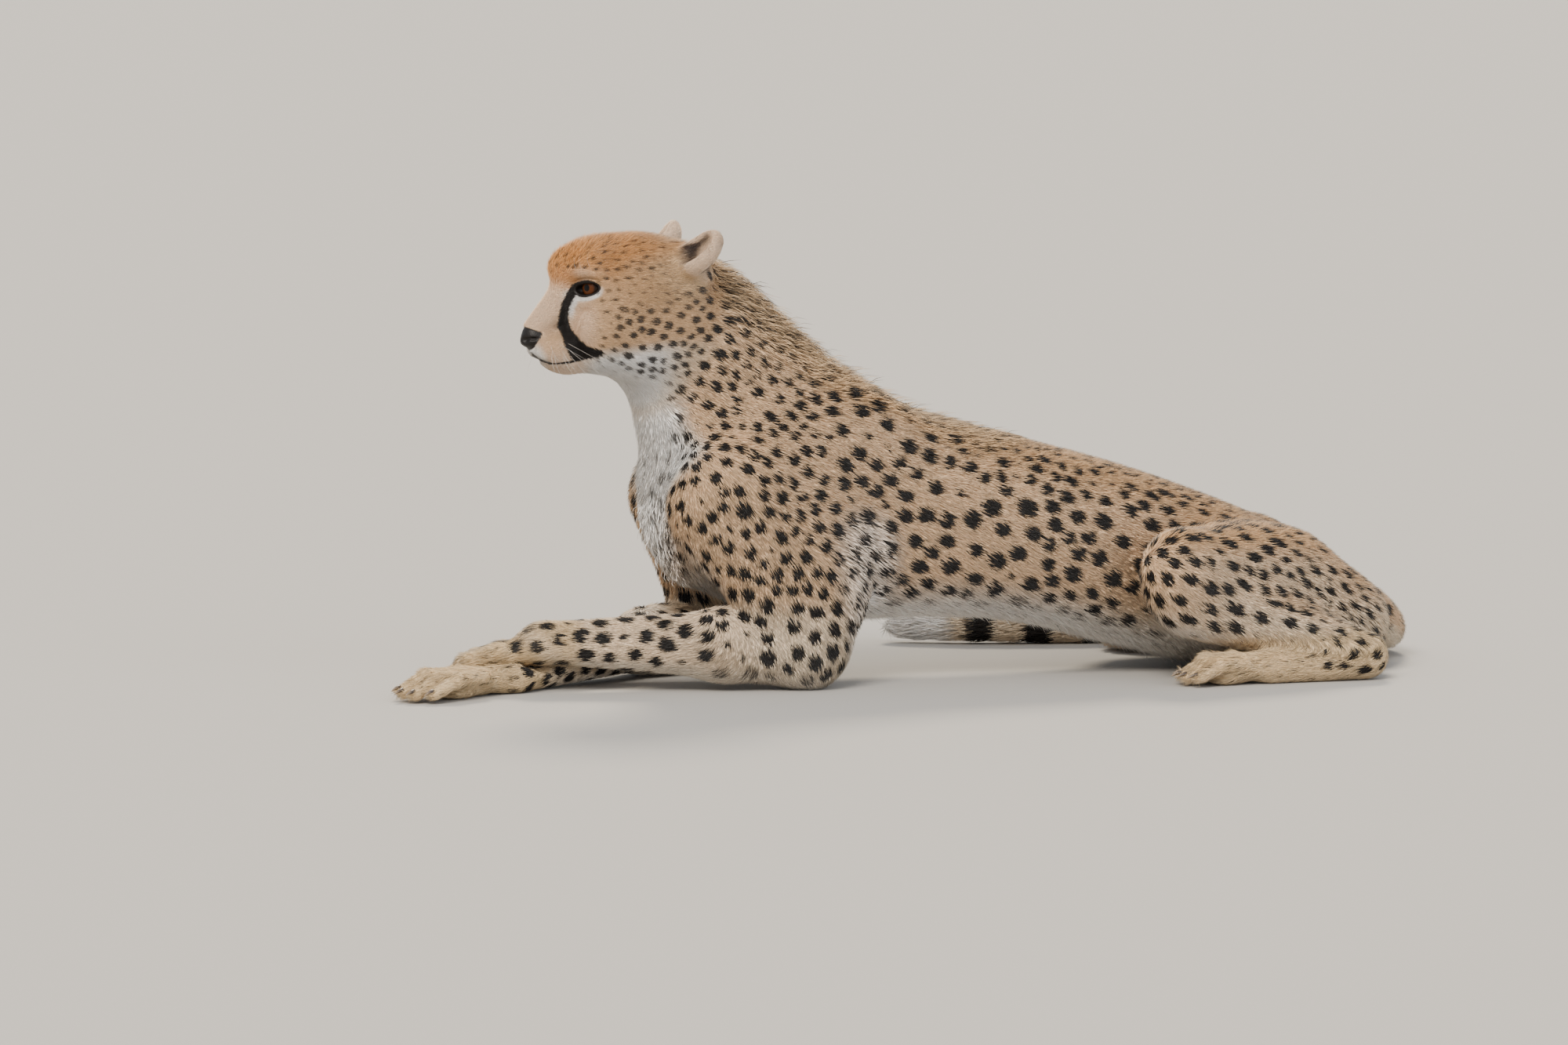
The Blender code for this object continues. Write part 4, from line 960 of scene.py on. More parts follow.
def spot_plan(points, normals):
    """How the spots are set at each point: the space between them, their half width, how much longer than
    wide they are along the hair, and how dark they are."""
    head = into_head(points)
    count = len(points)
    space, half = np.full(count, 0.0198), np.full(count, 0.0094)
    long, ink = np.full(count, 1.12), np.ones(count)

    def blend_in(share, values):
        for field, value in zip((space, half, long, ink), values, strict=True):
            field += (value - field) * share

    blend_in(soft(points[:, 0], -0.120, -0.165), (0.0160, 0.0084, 1.06, 1))
    blend_in(soft(normals[:, 2], 0.25, 0.75) * soft(points[:, 0], -0.08, 0.0), (0.0150, 0.0074, 1.2, 1))
    blend_in(soft(points[:, 0], 0.19, 0.25), (0.0182, 0.0074, 1.6, 1))
    blend_in(soft(points[:, 0], 0.33, 0.38), (0.0132, 0.0055, 1.65, 1))
    neck = soft(to_line(points, ((-0.330, 0, 0.385), (-0.250, 0, 0.300)))[0], 0.135, 0.090)
    blend_in(neck, (0.0134, 0.0062, 1.15, 1))
    mane = soft(to_line(points, MANE_LINE)[0], 0.060, 0.030)
    blend_in(mane, (0.0130, 0.0054, 2.0, 0.9))
    back = soft(normals[:, 2], 0.55, 0.9) * soft(points[:, 0], -0.05, 0.05)
    back *= soft(np.abs(points[:, 1]), 0.05, 0.03)
    blend_in(back, (0.0116, 0.0050, 1.5, 1))
    for side in (LEFT, RIGHT):
        flip = np.array((1, side, 1))
        fore = soft(to_line(points, (ELBOW[side], WRIST[side]))[0], 0.060, 0.040)
        blend_in(fore, (0.0192, 0.0088, 1.05, 1))
        paw = soft(to_line(points, (WRIST[side], FORE_TOES[side]))[0], 0.050, 0.032)
        paw *= soft((points - np.array(WRIST[side])) @ np.array(FORE_TOES[side] - WRIST[side]), -0.001, 0.004)
        blend_in(paw, (0.0088, 0.0015, 3.2, 0.5))
        hind = soft(to_line(points * flip, (HOCK.lerp(HIND_TOES, 0.45), HIND_TOES))[0], 0.045, 0.030)
        blend_in(hind, (0.0088, 0.0015, 3.2, 0.5))
    skull = on_head(head, 0.113)
    blend_in(skull, (0.0106, 0.0043, 1.3, 0.95))
    blend_in(skull * soft(head[:, 0], 0.0, 0.030), (0.0088, 0.0025, 1.35, 0.8))
    crown = skull * soft(head[:, 2], 0.045, 0.065)
    blend_in(crown, (0.0074, 0.0022, 1.9, 0.72))
    temple = dent(head, (-0.020, 0.06, 0.030), (0.040, 0.03, 0.022)) * skull
    blend_in(np.clip(temple * 1.3, 0, 1), (0.0088, 0.0018, 2.2, 0.45))
    bare = soft(head[:, 0], 0.028, 0.040) * skull * soft(head[:, 2], 0.052, 0.044)
    ink *= 1 - bare
    tail_line, _ = tail_stations()
    tail, share = to_line(points, tail_line[2:])
    on_tail = soft(tail, 0.038, 0.028)
    blend_in(on_tail, (0.0230, 0.0084, 1.1, 1))
    ink *= 1 - on_tail * soft(share, 0.62, 0.68)
    under = soft(normals[:, 2], -0.60, -0.90) * soft(points[:, 0], -0.34, -0.30)
    ink *= 1 - 0.9 * under
    throat = soft(points[:, 0], -0.290, -0.315) * soft(np.abs(points[:, 1]), 0.055, 0.035)
    throat *= soft(points[:, 2], 0.085, 0.120)
    ink *= 1 - throat * (0.95 - 0.50 * soft(points[:, 2], 0.27, 0.22)) * soft(points[:, 2], 0.36, 0.34)
    chin = soft(head[:, 2], -0.040, -0.052) * soft(np.linalg.norm(head, axis=1), 0.125, 0.10)
    ink *= 1 - chin * soft(head[:, 1], 0.055, 0.035)
    ink *= soft(to_line(head, (EAR_BASE, EAR_TIP))[0], 0.020, 0.030)
    return space, half, long, ink


FLECKS, FLECK_SIZE = 0.08, 0.42  # the share of spots that are only flecks, and how large those are
SPOT_ROOM = 0.44  # a spot's greatest half width, as a share of the distance to the next one
NEAREST_CENTRES = 0.92  # centres stay this many spaces apart
LOWEST_CENTRE = 0.004  # no centre lies lower, so none is under the body


def scatter(points, space, random):
    """Picks centres that stay apart: again and again the point that lies farthest from those picked,
    measured in spaces and with a little chance in it, until all points are within about a space of one."""
    eager = random.uniform(0.88, 1.0, len(points)) / space
    score = np.full(len(points), 50.0) * random.uniform(0.9, 1, len(points))
    score[points[:, 2] < LOWEST_CENTRE] = 0
    picked = []
    while True:
        best = int(np.argmax(score))
        if score[best] < NEAREST_CENTRES:
            return np.array(picked)
        picked.append(best)
        away = np.sqrt(((points - points[best]) ** 2).sum(axis=1)) * eager
        score = np.minimum(score, away)


def from_spot(points, place, run, shape):
    """The signed distance from points to the edges of spots, each an oval that is longer along its run: the
    distance from its middle, with the part along the run divided by the stretch, less its half width."""
    offset = points - place
    along = (offset * run).sum(axis=-1)
    squared = (offset**2).sum(axis=-1)
    return np.sqrt(np.maximum(squared - along**2, 0) + (along / shape[..., 1]) ** 2) - shape[..., 0]


def spots_on(points, normals, lie, random):
    """The nearest spot to each point: the signed distance to its edge, its middle, the run of its hair, and
    its shape (half width, stretch and ink). About one in twelve is only a fleck, and none is so large that
    it reaches the next."""
    space, half, long, ink = spot_plan(points, normals)
    centres = scatter(points, space, random)
    size = half[centres] * random.uniform(0.80, 1.12, len(centres))
    size = np.where(random.random(len(centres)) < FLECKS, size * FLECK_SIZE, size)
    stretch = long[centres] * random.uniform(0.92, 1.15, len(centres))
    size = size * (0.45 + 0.55 * np.clip(ink[centres] * 1.25, 0, 1))
    place, run = points[centres], lie[centres]
    squared = (place**2).sum(axis=1)
    apart = squared[:, None] + squared[None] - 2 * place @ place.T + np.eye(len(place))
    size = np.minimum(size, SPOT_ROOM * np.sqrt(np.maximum(apart.min(axis=1), 1e-6) / stretch))
    shape = np.stack([size, stretch, ink[centres]], axis=1)
    edge = np.full(len(points), 0.02)
    which = np.zeros(len(points), int)
    order = np.argsort((np.floor(points[:, 0] / 0.05) * 64 + np.floor(points[:, 2] / 0.05)), kind="stable")
    for group in np.array_split(order, max(1, len(points) // 1500)):
        own = points[group]
        low, high = own.min(axis=0) - 0.03, own.max(axis=0) + 0.03
        near = np.flatnonzero(((place > low) & (place < high)).all(axis=1))
        if not len(near):
            continue
        facing = (normals[group][:, None] * normals[centres[near]][None]).sum(axis=2)
        away = from_spot(own[:, None], place[near][None], run[near][None], shape[near][None])
        away += 0.02 * (facing < -0.2)
        nearest = away.argmin(axis=1)
        edge[group] = away[np.arange(len(group)), nearest]
        which[group] = near[nearest]
    return edge, place[which], run[which], shape[which]


TEAR_LINE = ((0.0507, 0, 0.0300), (0.0560, 0, 0.0200), (0.0605, 0, 0.0100), (0.0628, 0, -0.0020))
TEAR_LINE += ((0.0620, 0, -0.0160), (0.0590, 0, -0.0290), (0.0510, 0, -0.0390), (0.0350, 0, -0.0385))
TEAR_HALF_WIDTHS = (0.0042, 0.0040, 0.0042, 0.0047, 0.0060, 0.0088, 0.0104, 0.0048)
TAIL_RINGS = (0.70, 0.775, 0.85)  # shares of the tail's length
TAIL_RING_HALF = 0.0125


def face_marks(head, local_eye):
    """The signed distance to the black marks of the face, in the head's frame: the line from the inner
    corner of the eye to the mouth, which widens at the mouth's corner, the eye's rim and the lips."""
    away, share = to_line(head, TEAR_LINE, (0, 2))
    width = np.interp(share, np.linspace(0, 1, len(TEAR_HALF_WIDTHS)), TEAR_HALF_WIDTHS)
    line = away - width + 0.03 * soft(head[:, 1], 0.009, 0.004)
    across, up = local_eye[:, 1], local_eye[:, 2]
    inner = np.where(across > 0, 0.0205, 0.0178)
    rim = (np.sqrt((across / inner) ** 2 + ((up + 0.0008) / 0.0090) ** 2) - 1) * 0.0090
    rim = np.where(local_eye[:, 0] > 0, rim, 0.02)
    lips = to_line(head, MOUTH_LINE, (0, 2))[0] - 0.0011 - 0.0012 * soft(head[:, 0], 0.070, 0.045)
    lips += 0.02 * soft(head[:, 0], 0.034, 0.026)
    return np.minimum(np.minimum(line, rim), lips)


def markings(points, normals, lie, look, random):
    """Everything that colour and hair need at each point of the skin: the plain tint of the coat, the
    signed distance to the nearest dark mark and how dark it is, the same for the nearest spot and for the
    other marks alone, how bare the skin is, and the hair's length, width and depth."""
    colour_of = {name: np.array(getattr(look, name)[:3]) for name in PALETTE}
    head = into_head(points)
    local_eye = (head - np.array(EYE_PLACE)) @ eye_frame().T
    tint = np.tile(colour_of["buff"], (len(points), 1))
    length, width = np.full(len(points), look.body_hair), np.full(len(points), look.tuft_width)

    def paint(share, name, hair=None, thick=None):
        nonlocal tint, length, width
        tint = tint + (colour_of[name] - tint) * share[:, None]
        if hair is not None:
            length = length + (hair - length) * share
        if thick is not None:
            width = width + (thick - width) * share

    skull = on_head(head, 0.118)
    body = 1 - skull
    upright = normals[:, 2]
    paint(body * soft(upright, 0.35, 0.95) * soft(points[:, 0], -0.30, -0.10) * 0.75, "back")
    low = soft(points[:, 2], 0.115, 0.030) * soft(points[:, 0], -0.28, -0.22)
    low *= soft(np.abs(points[:, 1]), 0.19, 0.16)
    paint(body * low * 0.75, "pale", look.body_hair * 1.15)
    paint(body * soft(upright, -0.35, -0.90) * 0.8, "white", look.body_hair * 1.5)
    paint(body * soft(points[:, 0], 0.20, 0.30) * soft(upright, 0.75, 0.20) * 0.5, "pale")
    chest = soft(points[:, 0], -0.280, -0.322) * soft(np.abs(points[:, 1]), 0.066, 0.040)
    chest *= soft(points[:, 2], 0.04, 0.08)
    paint(body * chest, "white", 0.024, 0.0017)
    throat = soft((points - np.array((-0.300, 0, 0.330))) @ np.array((-0.80, 0, -0.60)), 0.012, 0.042)
    throat *= soft(away_from(points, (-0.340, 0, 0.300)), 0.13, 0.10)
    paint(throat, "white", 0.016, 0.0013)
    armpit = np.zeros(len(points))
    for side in (LEFT, RIGHT):
        flip = np.array((1, side, 1))
        near = soft(to_line(points * flip, ((-0.110, 0.100, 0.150), (-0.100, 0.100, 0.030)))[0], 0.055, 0.018)
        armpit = np.maximum(armpit, near)
        fore = soft(to_line(points, (ELBOW[side], WRIST[side], FORE_TOES[side]))[0], 0.070, 0.045)
        paint(fore * 0.65, "pale", 0.0105, look.tuft_width * 0.75)
        paw = soft(to_line(points, (WRIST[side], FORE_TOES[side]))[0], 0.055, 0.038)
        paint(paw * 0.9, "paw", 0.0125, look.tuft_width * 0.66)
        hind = soft(to_line(points * flip, (HOCK, HIND_TOES))[0], 0.045, 0.030)
        paint(hind * 0.8, "paw", 0.0125, look.tuft_width * 0.66)
    paint(armpit * 0.55, "white", 0.026, 0.0013)
    mane = soft(to_line(points, MANE_LINE)[0], 0.085, 0.030)
    mane *= soft(upright + 0.3 * np.abs(normals[:, 0]), 0.15, 0.6)
    paint(mane * 0.7, "mane", look.mane_hair, 0.0011)
    tail_line, _ = tail_stations()
    tail, along = to_line(points, tail_line[2:])
    on_tail = soft(tail, 0.040, 0.030)
    paint(on_tail, "buff", 0.0130, look.tuft_width * 0.85)
    paint(on_tail * soft(upright, -0.1, -0.6), "pale")
    paint(on_tail * soft(along, 0.60, 0.66), "pale", 0.017)
    paint(on_tail * soft(along, 0.885, 0.905), "white", 0.024)

    face = look.face_hair
    paint(skull, "cheek", face, look.tuft_width * 0.42)
    temple = dent(head, (-0.020, 0.06, 0.030), (0.045, 0.04, 0.030)) * skull
    paint(temple * 0.6, "back")
    crown = skull * soft(head[:, 2] - 0.35 * head[:, 0], 0.014, 0.046) * soft(head[:, 1], 0.062, 0.040)
    paint(crown * 0.9, "rust", face * 1.5)
    paint(skull * soft(head[:, 0], 0.0, -0.06) * soft(head[:, 2], 0.00, 0.03) * 0.5, "mane", face * 1.8)
    jaw = skull * soft(head[:, 2] + 0.10 * head[:, 0], -0.026, -0.046)
    paint(jaw * 0.6, "pale", face * 1.25)
    paint(jaw * soft(head[:, 0], -0.070, -0.020), "white")
    bridge = skull * soft(head[:, 0], 0.030, 0.052) * soft(head[:, 2], 0.052, 0.036)
    paint(bridge * 0.85, "muzzle", face * 0.55)
    brow = skull * soft(head[:, 2] - 0.12 * head[:, 0], 0.014, 0.032) * soft(head[:, 0], 0.030, 0.046)
    paint(brow * soft(head[:, 1], 0.042, 0.022) * 0.8, "rust", face * 1.3, look.tuft_width * 0.45)
    lip = bridge * soft(head[:, 0] - 0.5 * head[:, 2], 0.103, 0.114) * soft(head[:, 2], -0.022, -0.030)
    paint(bridge * dent(head, (0.076, 0.022, -0.028), (0.018, 0.02, 0.016)) * 0.9, "cheek")
    paint(lip, "white", face * 0.5)
    front = soft(away_from(head, (0.088, 0.0, -0.038)), 0.060, 0.030)
    length += (face * 0.45 - length) * front * skull
    width += (look.tuft_width * 0.30 - width) * front * skull
    marks = face_marks(head, local_eye) + 0.05 * (skull < 0.5)
    beside = soft(marks, 0.0062, 0.0028) * soft(local_eye[:, 1], -0.022, -0.013)
    beside *= soft(head[:, 2], -0.008, 0.006)
    beside *= soft(local_eye[:, 2], 0.002, -0.004)
    beside *= skull * soft(head[:, 1], 0.012, 0.018) * soft(head[:, 0], 0.010, 0.022)
    paint(beside, "white", face * 0.7)
    above_eye = dent(head, (0.046, 0.030, 0.047), (0.012, 0.02, 0.0045)) * skull
    paint(np.clip(above_eye * 0.5, 0, 1), "muzzle")
    eye_away = away_from(head, EYE_PLACE)
    length += (face * 0.38 - length) * soft(eye_away, 0.036, 0.020)
    width += (look.tuft_width * 0.26 - width) * soft(eye_away, 0.036, 0.020)

    ear, rise = to_line(head, (EAR_BASE, EAR_TIP))
    on_ear = soft(ear, 0.034, 0.026) * soft(rise, 0.02, 0.22)
    from_middle = (head - np.array(EAR_MIDDLE)) @ np.array(EAR_FACING)
    paint(on_ear, "muzzle", face * 0.8, look.tuft_width * 0.34)
    across = np.abs((head - np.array(EAR_MIDDLE)) @ np.array(EAR_WIDE))
    # The ear's hollow is painted dark brown: painted shade of the recess.
    ear_hollow_shade = on_ear * soft(from_middle, -0.004, 0.003) * soft(across, 0.0170, 0.0130) * soft(rise, 0.80, 0.60)
    paint(ear_hollow_shade, "ear", face * 1.5, look.tuft_width * 0.40)
    paint(on_ear * soft(from_middle, -0.008, -0.014) * soft(rise, 0.10, 0.25) * soft(rise, 0.62, 0.48), "ear")

    edge, *spot = spots_on(points, normals, lie, random)
    rings = np.abs(along[:, None] - np.array(TAIL_RINGS)).min(axis=1) * TAIL_SPAN - TAIL_RING_HALF
    marks = np.minimum(marks, np.where(on_tail > 0.5, rings, 0.05))
    ink = np.where((marks < edge) & (marks < 0.003), 1.0, spot[2][:, 2])
    edge = np.minimum(edge, marks)

    nose = np.linalg.norm((head - np.array(NOSE_PLACE)) / (0.0192, 0.0160, 0.0134), axis=1)
    bare = soft(nose, 1.06, 1.00) * soft(head[:, 0], 0.0765, 0.0800) * skull
    slit = (np.sqrt((local_eye[:, 1] / 0.0162) ** 2 + ((local_eye[:, 2] + 0.0012) / 0.0078) ** 2) - 1) * 0.008
    lid = np.where(local_eye[:, 0] > 0, soft(slit, 0.0016, 0.0004), 0)
    lips = to_line(head, MOUTH_LINE, (0, 2))[0]
    mouth = soft(lips, 0.0017, 0.0010) * soft(head[:, 0], 0.030, 0.036) * skull
    bare = np.maximum(np.maximum(bare, lid * skull), mouth)
    hair = np.stack([length, width, coat_depth(points)], axis=1)
    return tint, edge, ink, marks, spot, bare, hair


TAIL_SPAN = sum(math.dist(a, b) for a, b in zip(tail_stations()[0][2:], tail_stations()[0][3:], strict=False))
PALETTE = {
    "buff": ("#E5C29B", "Sandy buff of the flanks"),
    "back": ("#C69A68", "Deeper tan along the back"),
    "pale": ("#EDDABF", "Pale buff low on the flanks and legs"),
    "white": ("#F7F3EE", "White of the throat, chest and belly"),
    "mane": ("#BFA37E", "Grey-brown of the nape's longer hair"),
    "rust": ("#D09252", "Golden rust of the crown"),
    "cheek": ("#D5B087", "Warm buff of the cheeks"),
    "muzzle": ("#E8CBAE", "Pale bridge of the nose"),
    "paw": ("#E0C498", "Straw colour of the paws"),
    # The ear colour is the real dark brown behind the ears, and is also laid in the ear's hollow as painted
    # shade.
    "ear": ("#3B2A20", "Dark brown inside and behind the ears"),
    "black": ("#17120F", "Soft black of the spots"),
}


# ---------------------------------------------------------------- the coat

REGIONS = (
    "head_left",
    "head_right",
    "neck_left",
    "neck_right",
    "trunk_left",
    "trunk_right",
    "foreleg_left",
    "foreleg_right",
    "hindleg_left",
    "hindleg_right",
    "tail",
)
MOST_TRIANGLES = 193060  # expected in one piece of the coat, so that chance keeps it under 200,000
SHORT_TUFT, LONG_TUFT = 4, 10  # triangles
LONG_HAIR = 0.0165  # hair longer than this is bent once along its length
PATCH = 0.003  # the width of a tuft's patch on the map
DEEP_COAT = 0.0060  # where the coat is deeper than this, some tufts stand proud of the others
PROUD_SHARE = 0.10  # how many do
PROUD_RISE = 0.8  # how much higher, as a share of their height
MARK_FEATHER = 0.0006  # half the width over which a mark's edge fades
MARKED, STRAY = 0.86, 0.25  # the least ink of a dark tuft in a mark, and the share of it on a plain one
SHADES = (0.82, 1.16)  # the range of the tufts' own lightness
DULL_SHARE, DULL = 0.08, 0.74  # how many tufts are duller, and by how much
ROOT_SHADE, TIP_LIGHT_GAIN = 0.88, 0.22  # painted shade: the lightness at a tuft's root, where the others hide it, and what it gains by its tip as painted light


def regions_of(points):
    """Which piece of the coat each point of the skin belongs to, as a place in REGIONS: the head beyond a
    plane across the neck, and elsewhere the part whose masses come nearest, left or right."""
    forelegs = [upper_foreleg_masses(side) + lower_foreleg_masses(side) for side in (LEFT, RIGHT)]
    legs = [distance_to(masses, points) for masses in forelegs]
    haunches = [distance_to(hindleg_masses(side), points) + 0.004 for side in (LEFT, RIGHT)]
    tail = distance_to(tail_masses(2, TAIL_STEPS), points)
    trunk, neck = distance_to(trunk_masses(), points), distance_to(neck_masses(), points)
    beyond_head = 0.745 * (points[:, 2] - 0.363) - 0.668 * (points[:, 0] + 0.295)
    head = np.where(beyond_head > 0, -1.0, 1.0)
    nearest = np.argmin([head, neck, trunk, *legs, *haunches, tail], axis=0)
    side = (points[:, 1] > np.where(nearest == 0, HEAD_PLACE.y, 0.0)).astype(int)
    return np.choose(nearest, [side, 2 + side, 4 + side, 6, 7, 8, 9, 10])


def bend_along(points, normals, lie, edges):
    """How the skin curves along the hair at each point: over each edge, the change of the normal along it
    divided by its length, weighed by the fourth power of how well it lines up. Round is positive."""
    first, second = edges.T
    run = points[second] - points[first]
    length = np.maximum(np.linalg.norm(run, axis=1), 1e-7)
    turn = ((normals[second] - normals[first]) * run).sum(axis=1) / length**2
    total, weight = np.zeros(len(points)), np.full(len(points), 1e-6)
    for end in (first, second):
        share = ((run * lie[end]).sum(axis=1) / length) ** 4
        total += np.bincount(end, turn * share, len(points))
        weight += np.bincount(end, share, len(points))
    return spread(np.clip(total / weight, -45, 55), edges, 3)


def spread(values, edges, times):
    """Evens values out over a mesh: each point takes the mean of itself and its neighbours, many times."""
    first, second = edges.T
    count = len(values)
    neighbours = 1.0 + np.bincount(first, minlength=count) + np.bincount(second, minlength=count)
    for _ in range(times):
        flat = values.reshape(count, -1)
        summed = flat.copy()
        for k in range(flat.shape[1]):
            ahead, behind = flat[second, k], flat[first, k]
            summed[:, k] += np.bincount(first, ahead, count) + np.bincount(second, behind, count)
        values = (summed / neighbours[:, None]).reshape(values.shape)
    return values


def chart(points, normals):
    """An unwrap of one piece of skin, for the coat's map. The skin is laid out in six charts, one for each
    way that it mostly faces, side by side, each as wide as its share of the tufts, and each stretched to
    fill its own strip."""
    facing = np.abs(normals).argmax(axis=1)
    which = facing * 2 + (normals[np.arange(len(points)), facing] > 0)
    placed = np.zeros((len(points), 2))
    start = 0.0
    for k in range(6):
        own = which == k
        share = own.mean()
        if own.any():
            flat = points[own][:, [a for a in range(3) if a != k // 2]]
            low, high = flat.min(axis=0), flat.max(axis=0)
            inside = (flat - low) / np.maximum(high - low, 1e-6)
            room = np.array((max(share - 2 * PATCH, share * 0.5), 1 - 2 * PATCH))
            placed[own] = np.array((start + min(PATCH, share * 0.25), PATCH)) + inside * room
        start += share
    return placed


def tufts(root, normal, lie, hair, bend, random, ragged):
    """The points and faces of many tufts, three-sided and pointed, all closed. A short one runs straight
    from its root to its tip; a long one is bent halfway. Each leans over by its depth of coat, and where
    the coat is deep one in ten stands proud of the others. It follows the skin's curve: at a distance s
    along the skin it is lowered by the curve times s squared over two."""
    count = len(root)
    across = np.cross(normal, lie)
    yaw = random.normal(0, ragged, count)[:, None]
    lie = lie * np.cos(yaw) + across * np.sin(yaw)
    across = np.cross(normal, lie)
    length = hair[:, 0] * random.uniform(0.70, 1.22, count)
    width = hair[:, 1] * random.uniform(0.75, 1.25, count)
    proud = 1 + PROUD_RISE * ((random.random(count) < PROUD_SHARE) & (hair[:, 2] > DEEP_COAT))
    height = np.minimum(hair[:, 2] * proud * random.uniform(0.45, 1.02, count), length * 0.75)
    reach = np.sqrt(length**2 - height**2)
    curl = random.normal(0, 0.10, count) * length
    long = hair[:, 0] > LONG_HAIR

    def section(own, share, lift, thick):
        place = (reach[own] * share)[:, None]
        sink = (bend[own] * (reach[own] * share) ** 2 / 2)[:, None]
        middle = root[own] + lie[own] * place + normal[own] * ((height[own] * lift)[:, None] - sink)
        middle = middle + across[own] * (curl[own] * share**2)[:, None]
        half = (width[own] * thick)[:, None]
        return [
            middle - across[own] * half / 2,
            middle + across[own] * half / 2,
            middle + normal[own] * half * 0.42,
        ], middle

    points, faces, owners, shares = [], [], [], []
    start = 0
    for own, steps in ((np.flatnonzero(~long), (0.0,)), (np.flatnonzero(long), (0.0, 0.5))):
        rings = []
        for step in steps:
            share, lift = (step, 0.72) if step else (-0.06, -0.10)
            rings.append(np.stack(section(own, share, lift, 1.0 - 0.35 * step)[0], 1))
        tip = section(own, 1.0, 1.0, 0)[1][:, None]
        block = np.concatenate([*rings, tip], axis=1)
        corners = block.shape[1]
        pattern = [(0, 2, 1)]
        for ring in range(len(steps) - 1):
            a, b = ring * 3, ring * 3 + 3
            for i, j in ((0, 1), (1, 2), (2, 0)):
                pattern += [(a + i, a + j, b + j), (a + i, b + j, b + i)]
        a = (len(steps) - 1) * 3
        pattern += [(a, a + 1, corners - 1), (a + 1, a + 2, corners - 1), (a + 2, a, corners - 1)]
        pattern = np.array(pattern)
        base = start + np.arange(len(own)) * corners
        faces.append((base[:, None, None] + pattern[None]).reshape(-1, 3))
        points.append(block.reshape(-1, 3))
        owners.append(np.repeat(own, corners))
        shares.append(np.tile([*np.repeat(steps, 3), 1.0], len(own)))
        start += len(own) * corners
    return np.concatenate(points), np.concatenate(faces), np.concatenate(owners), np.concatenate(shares)


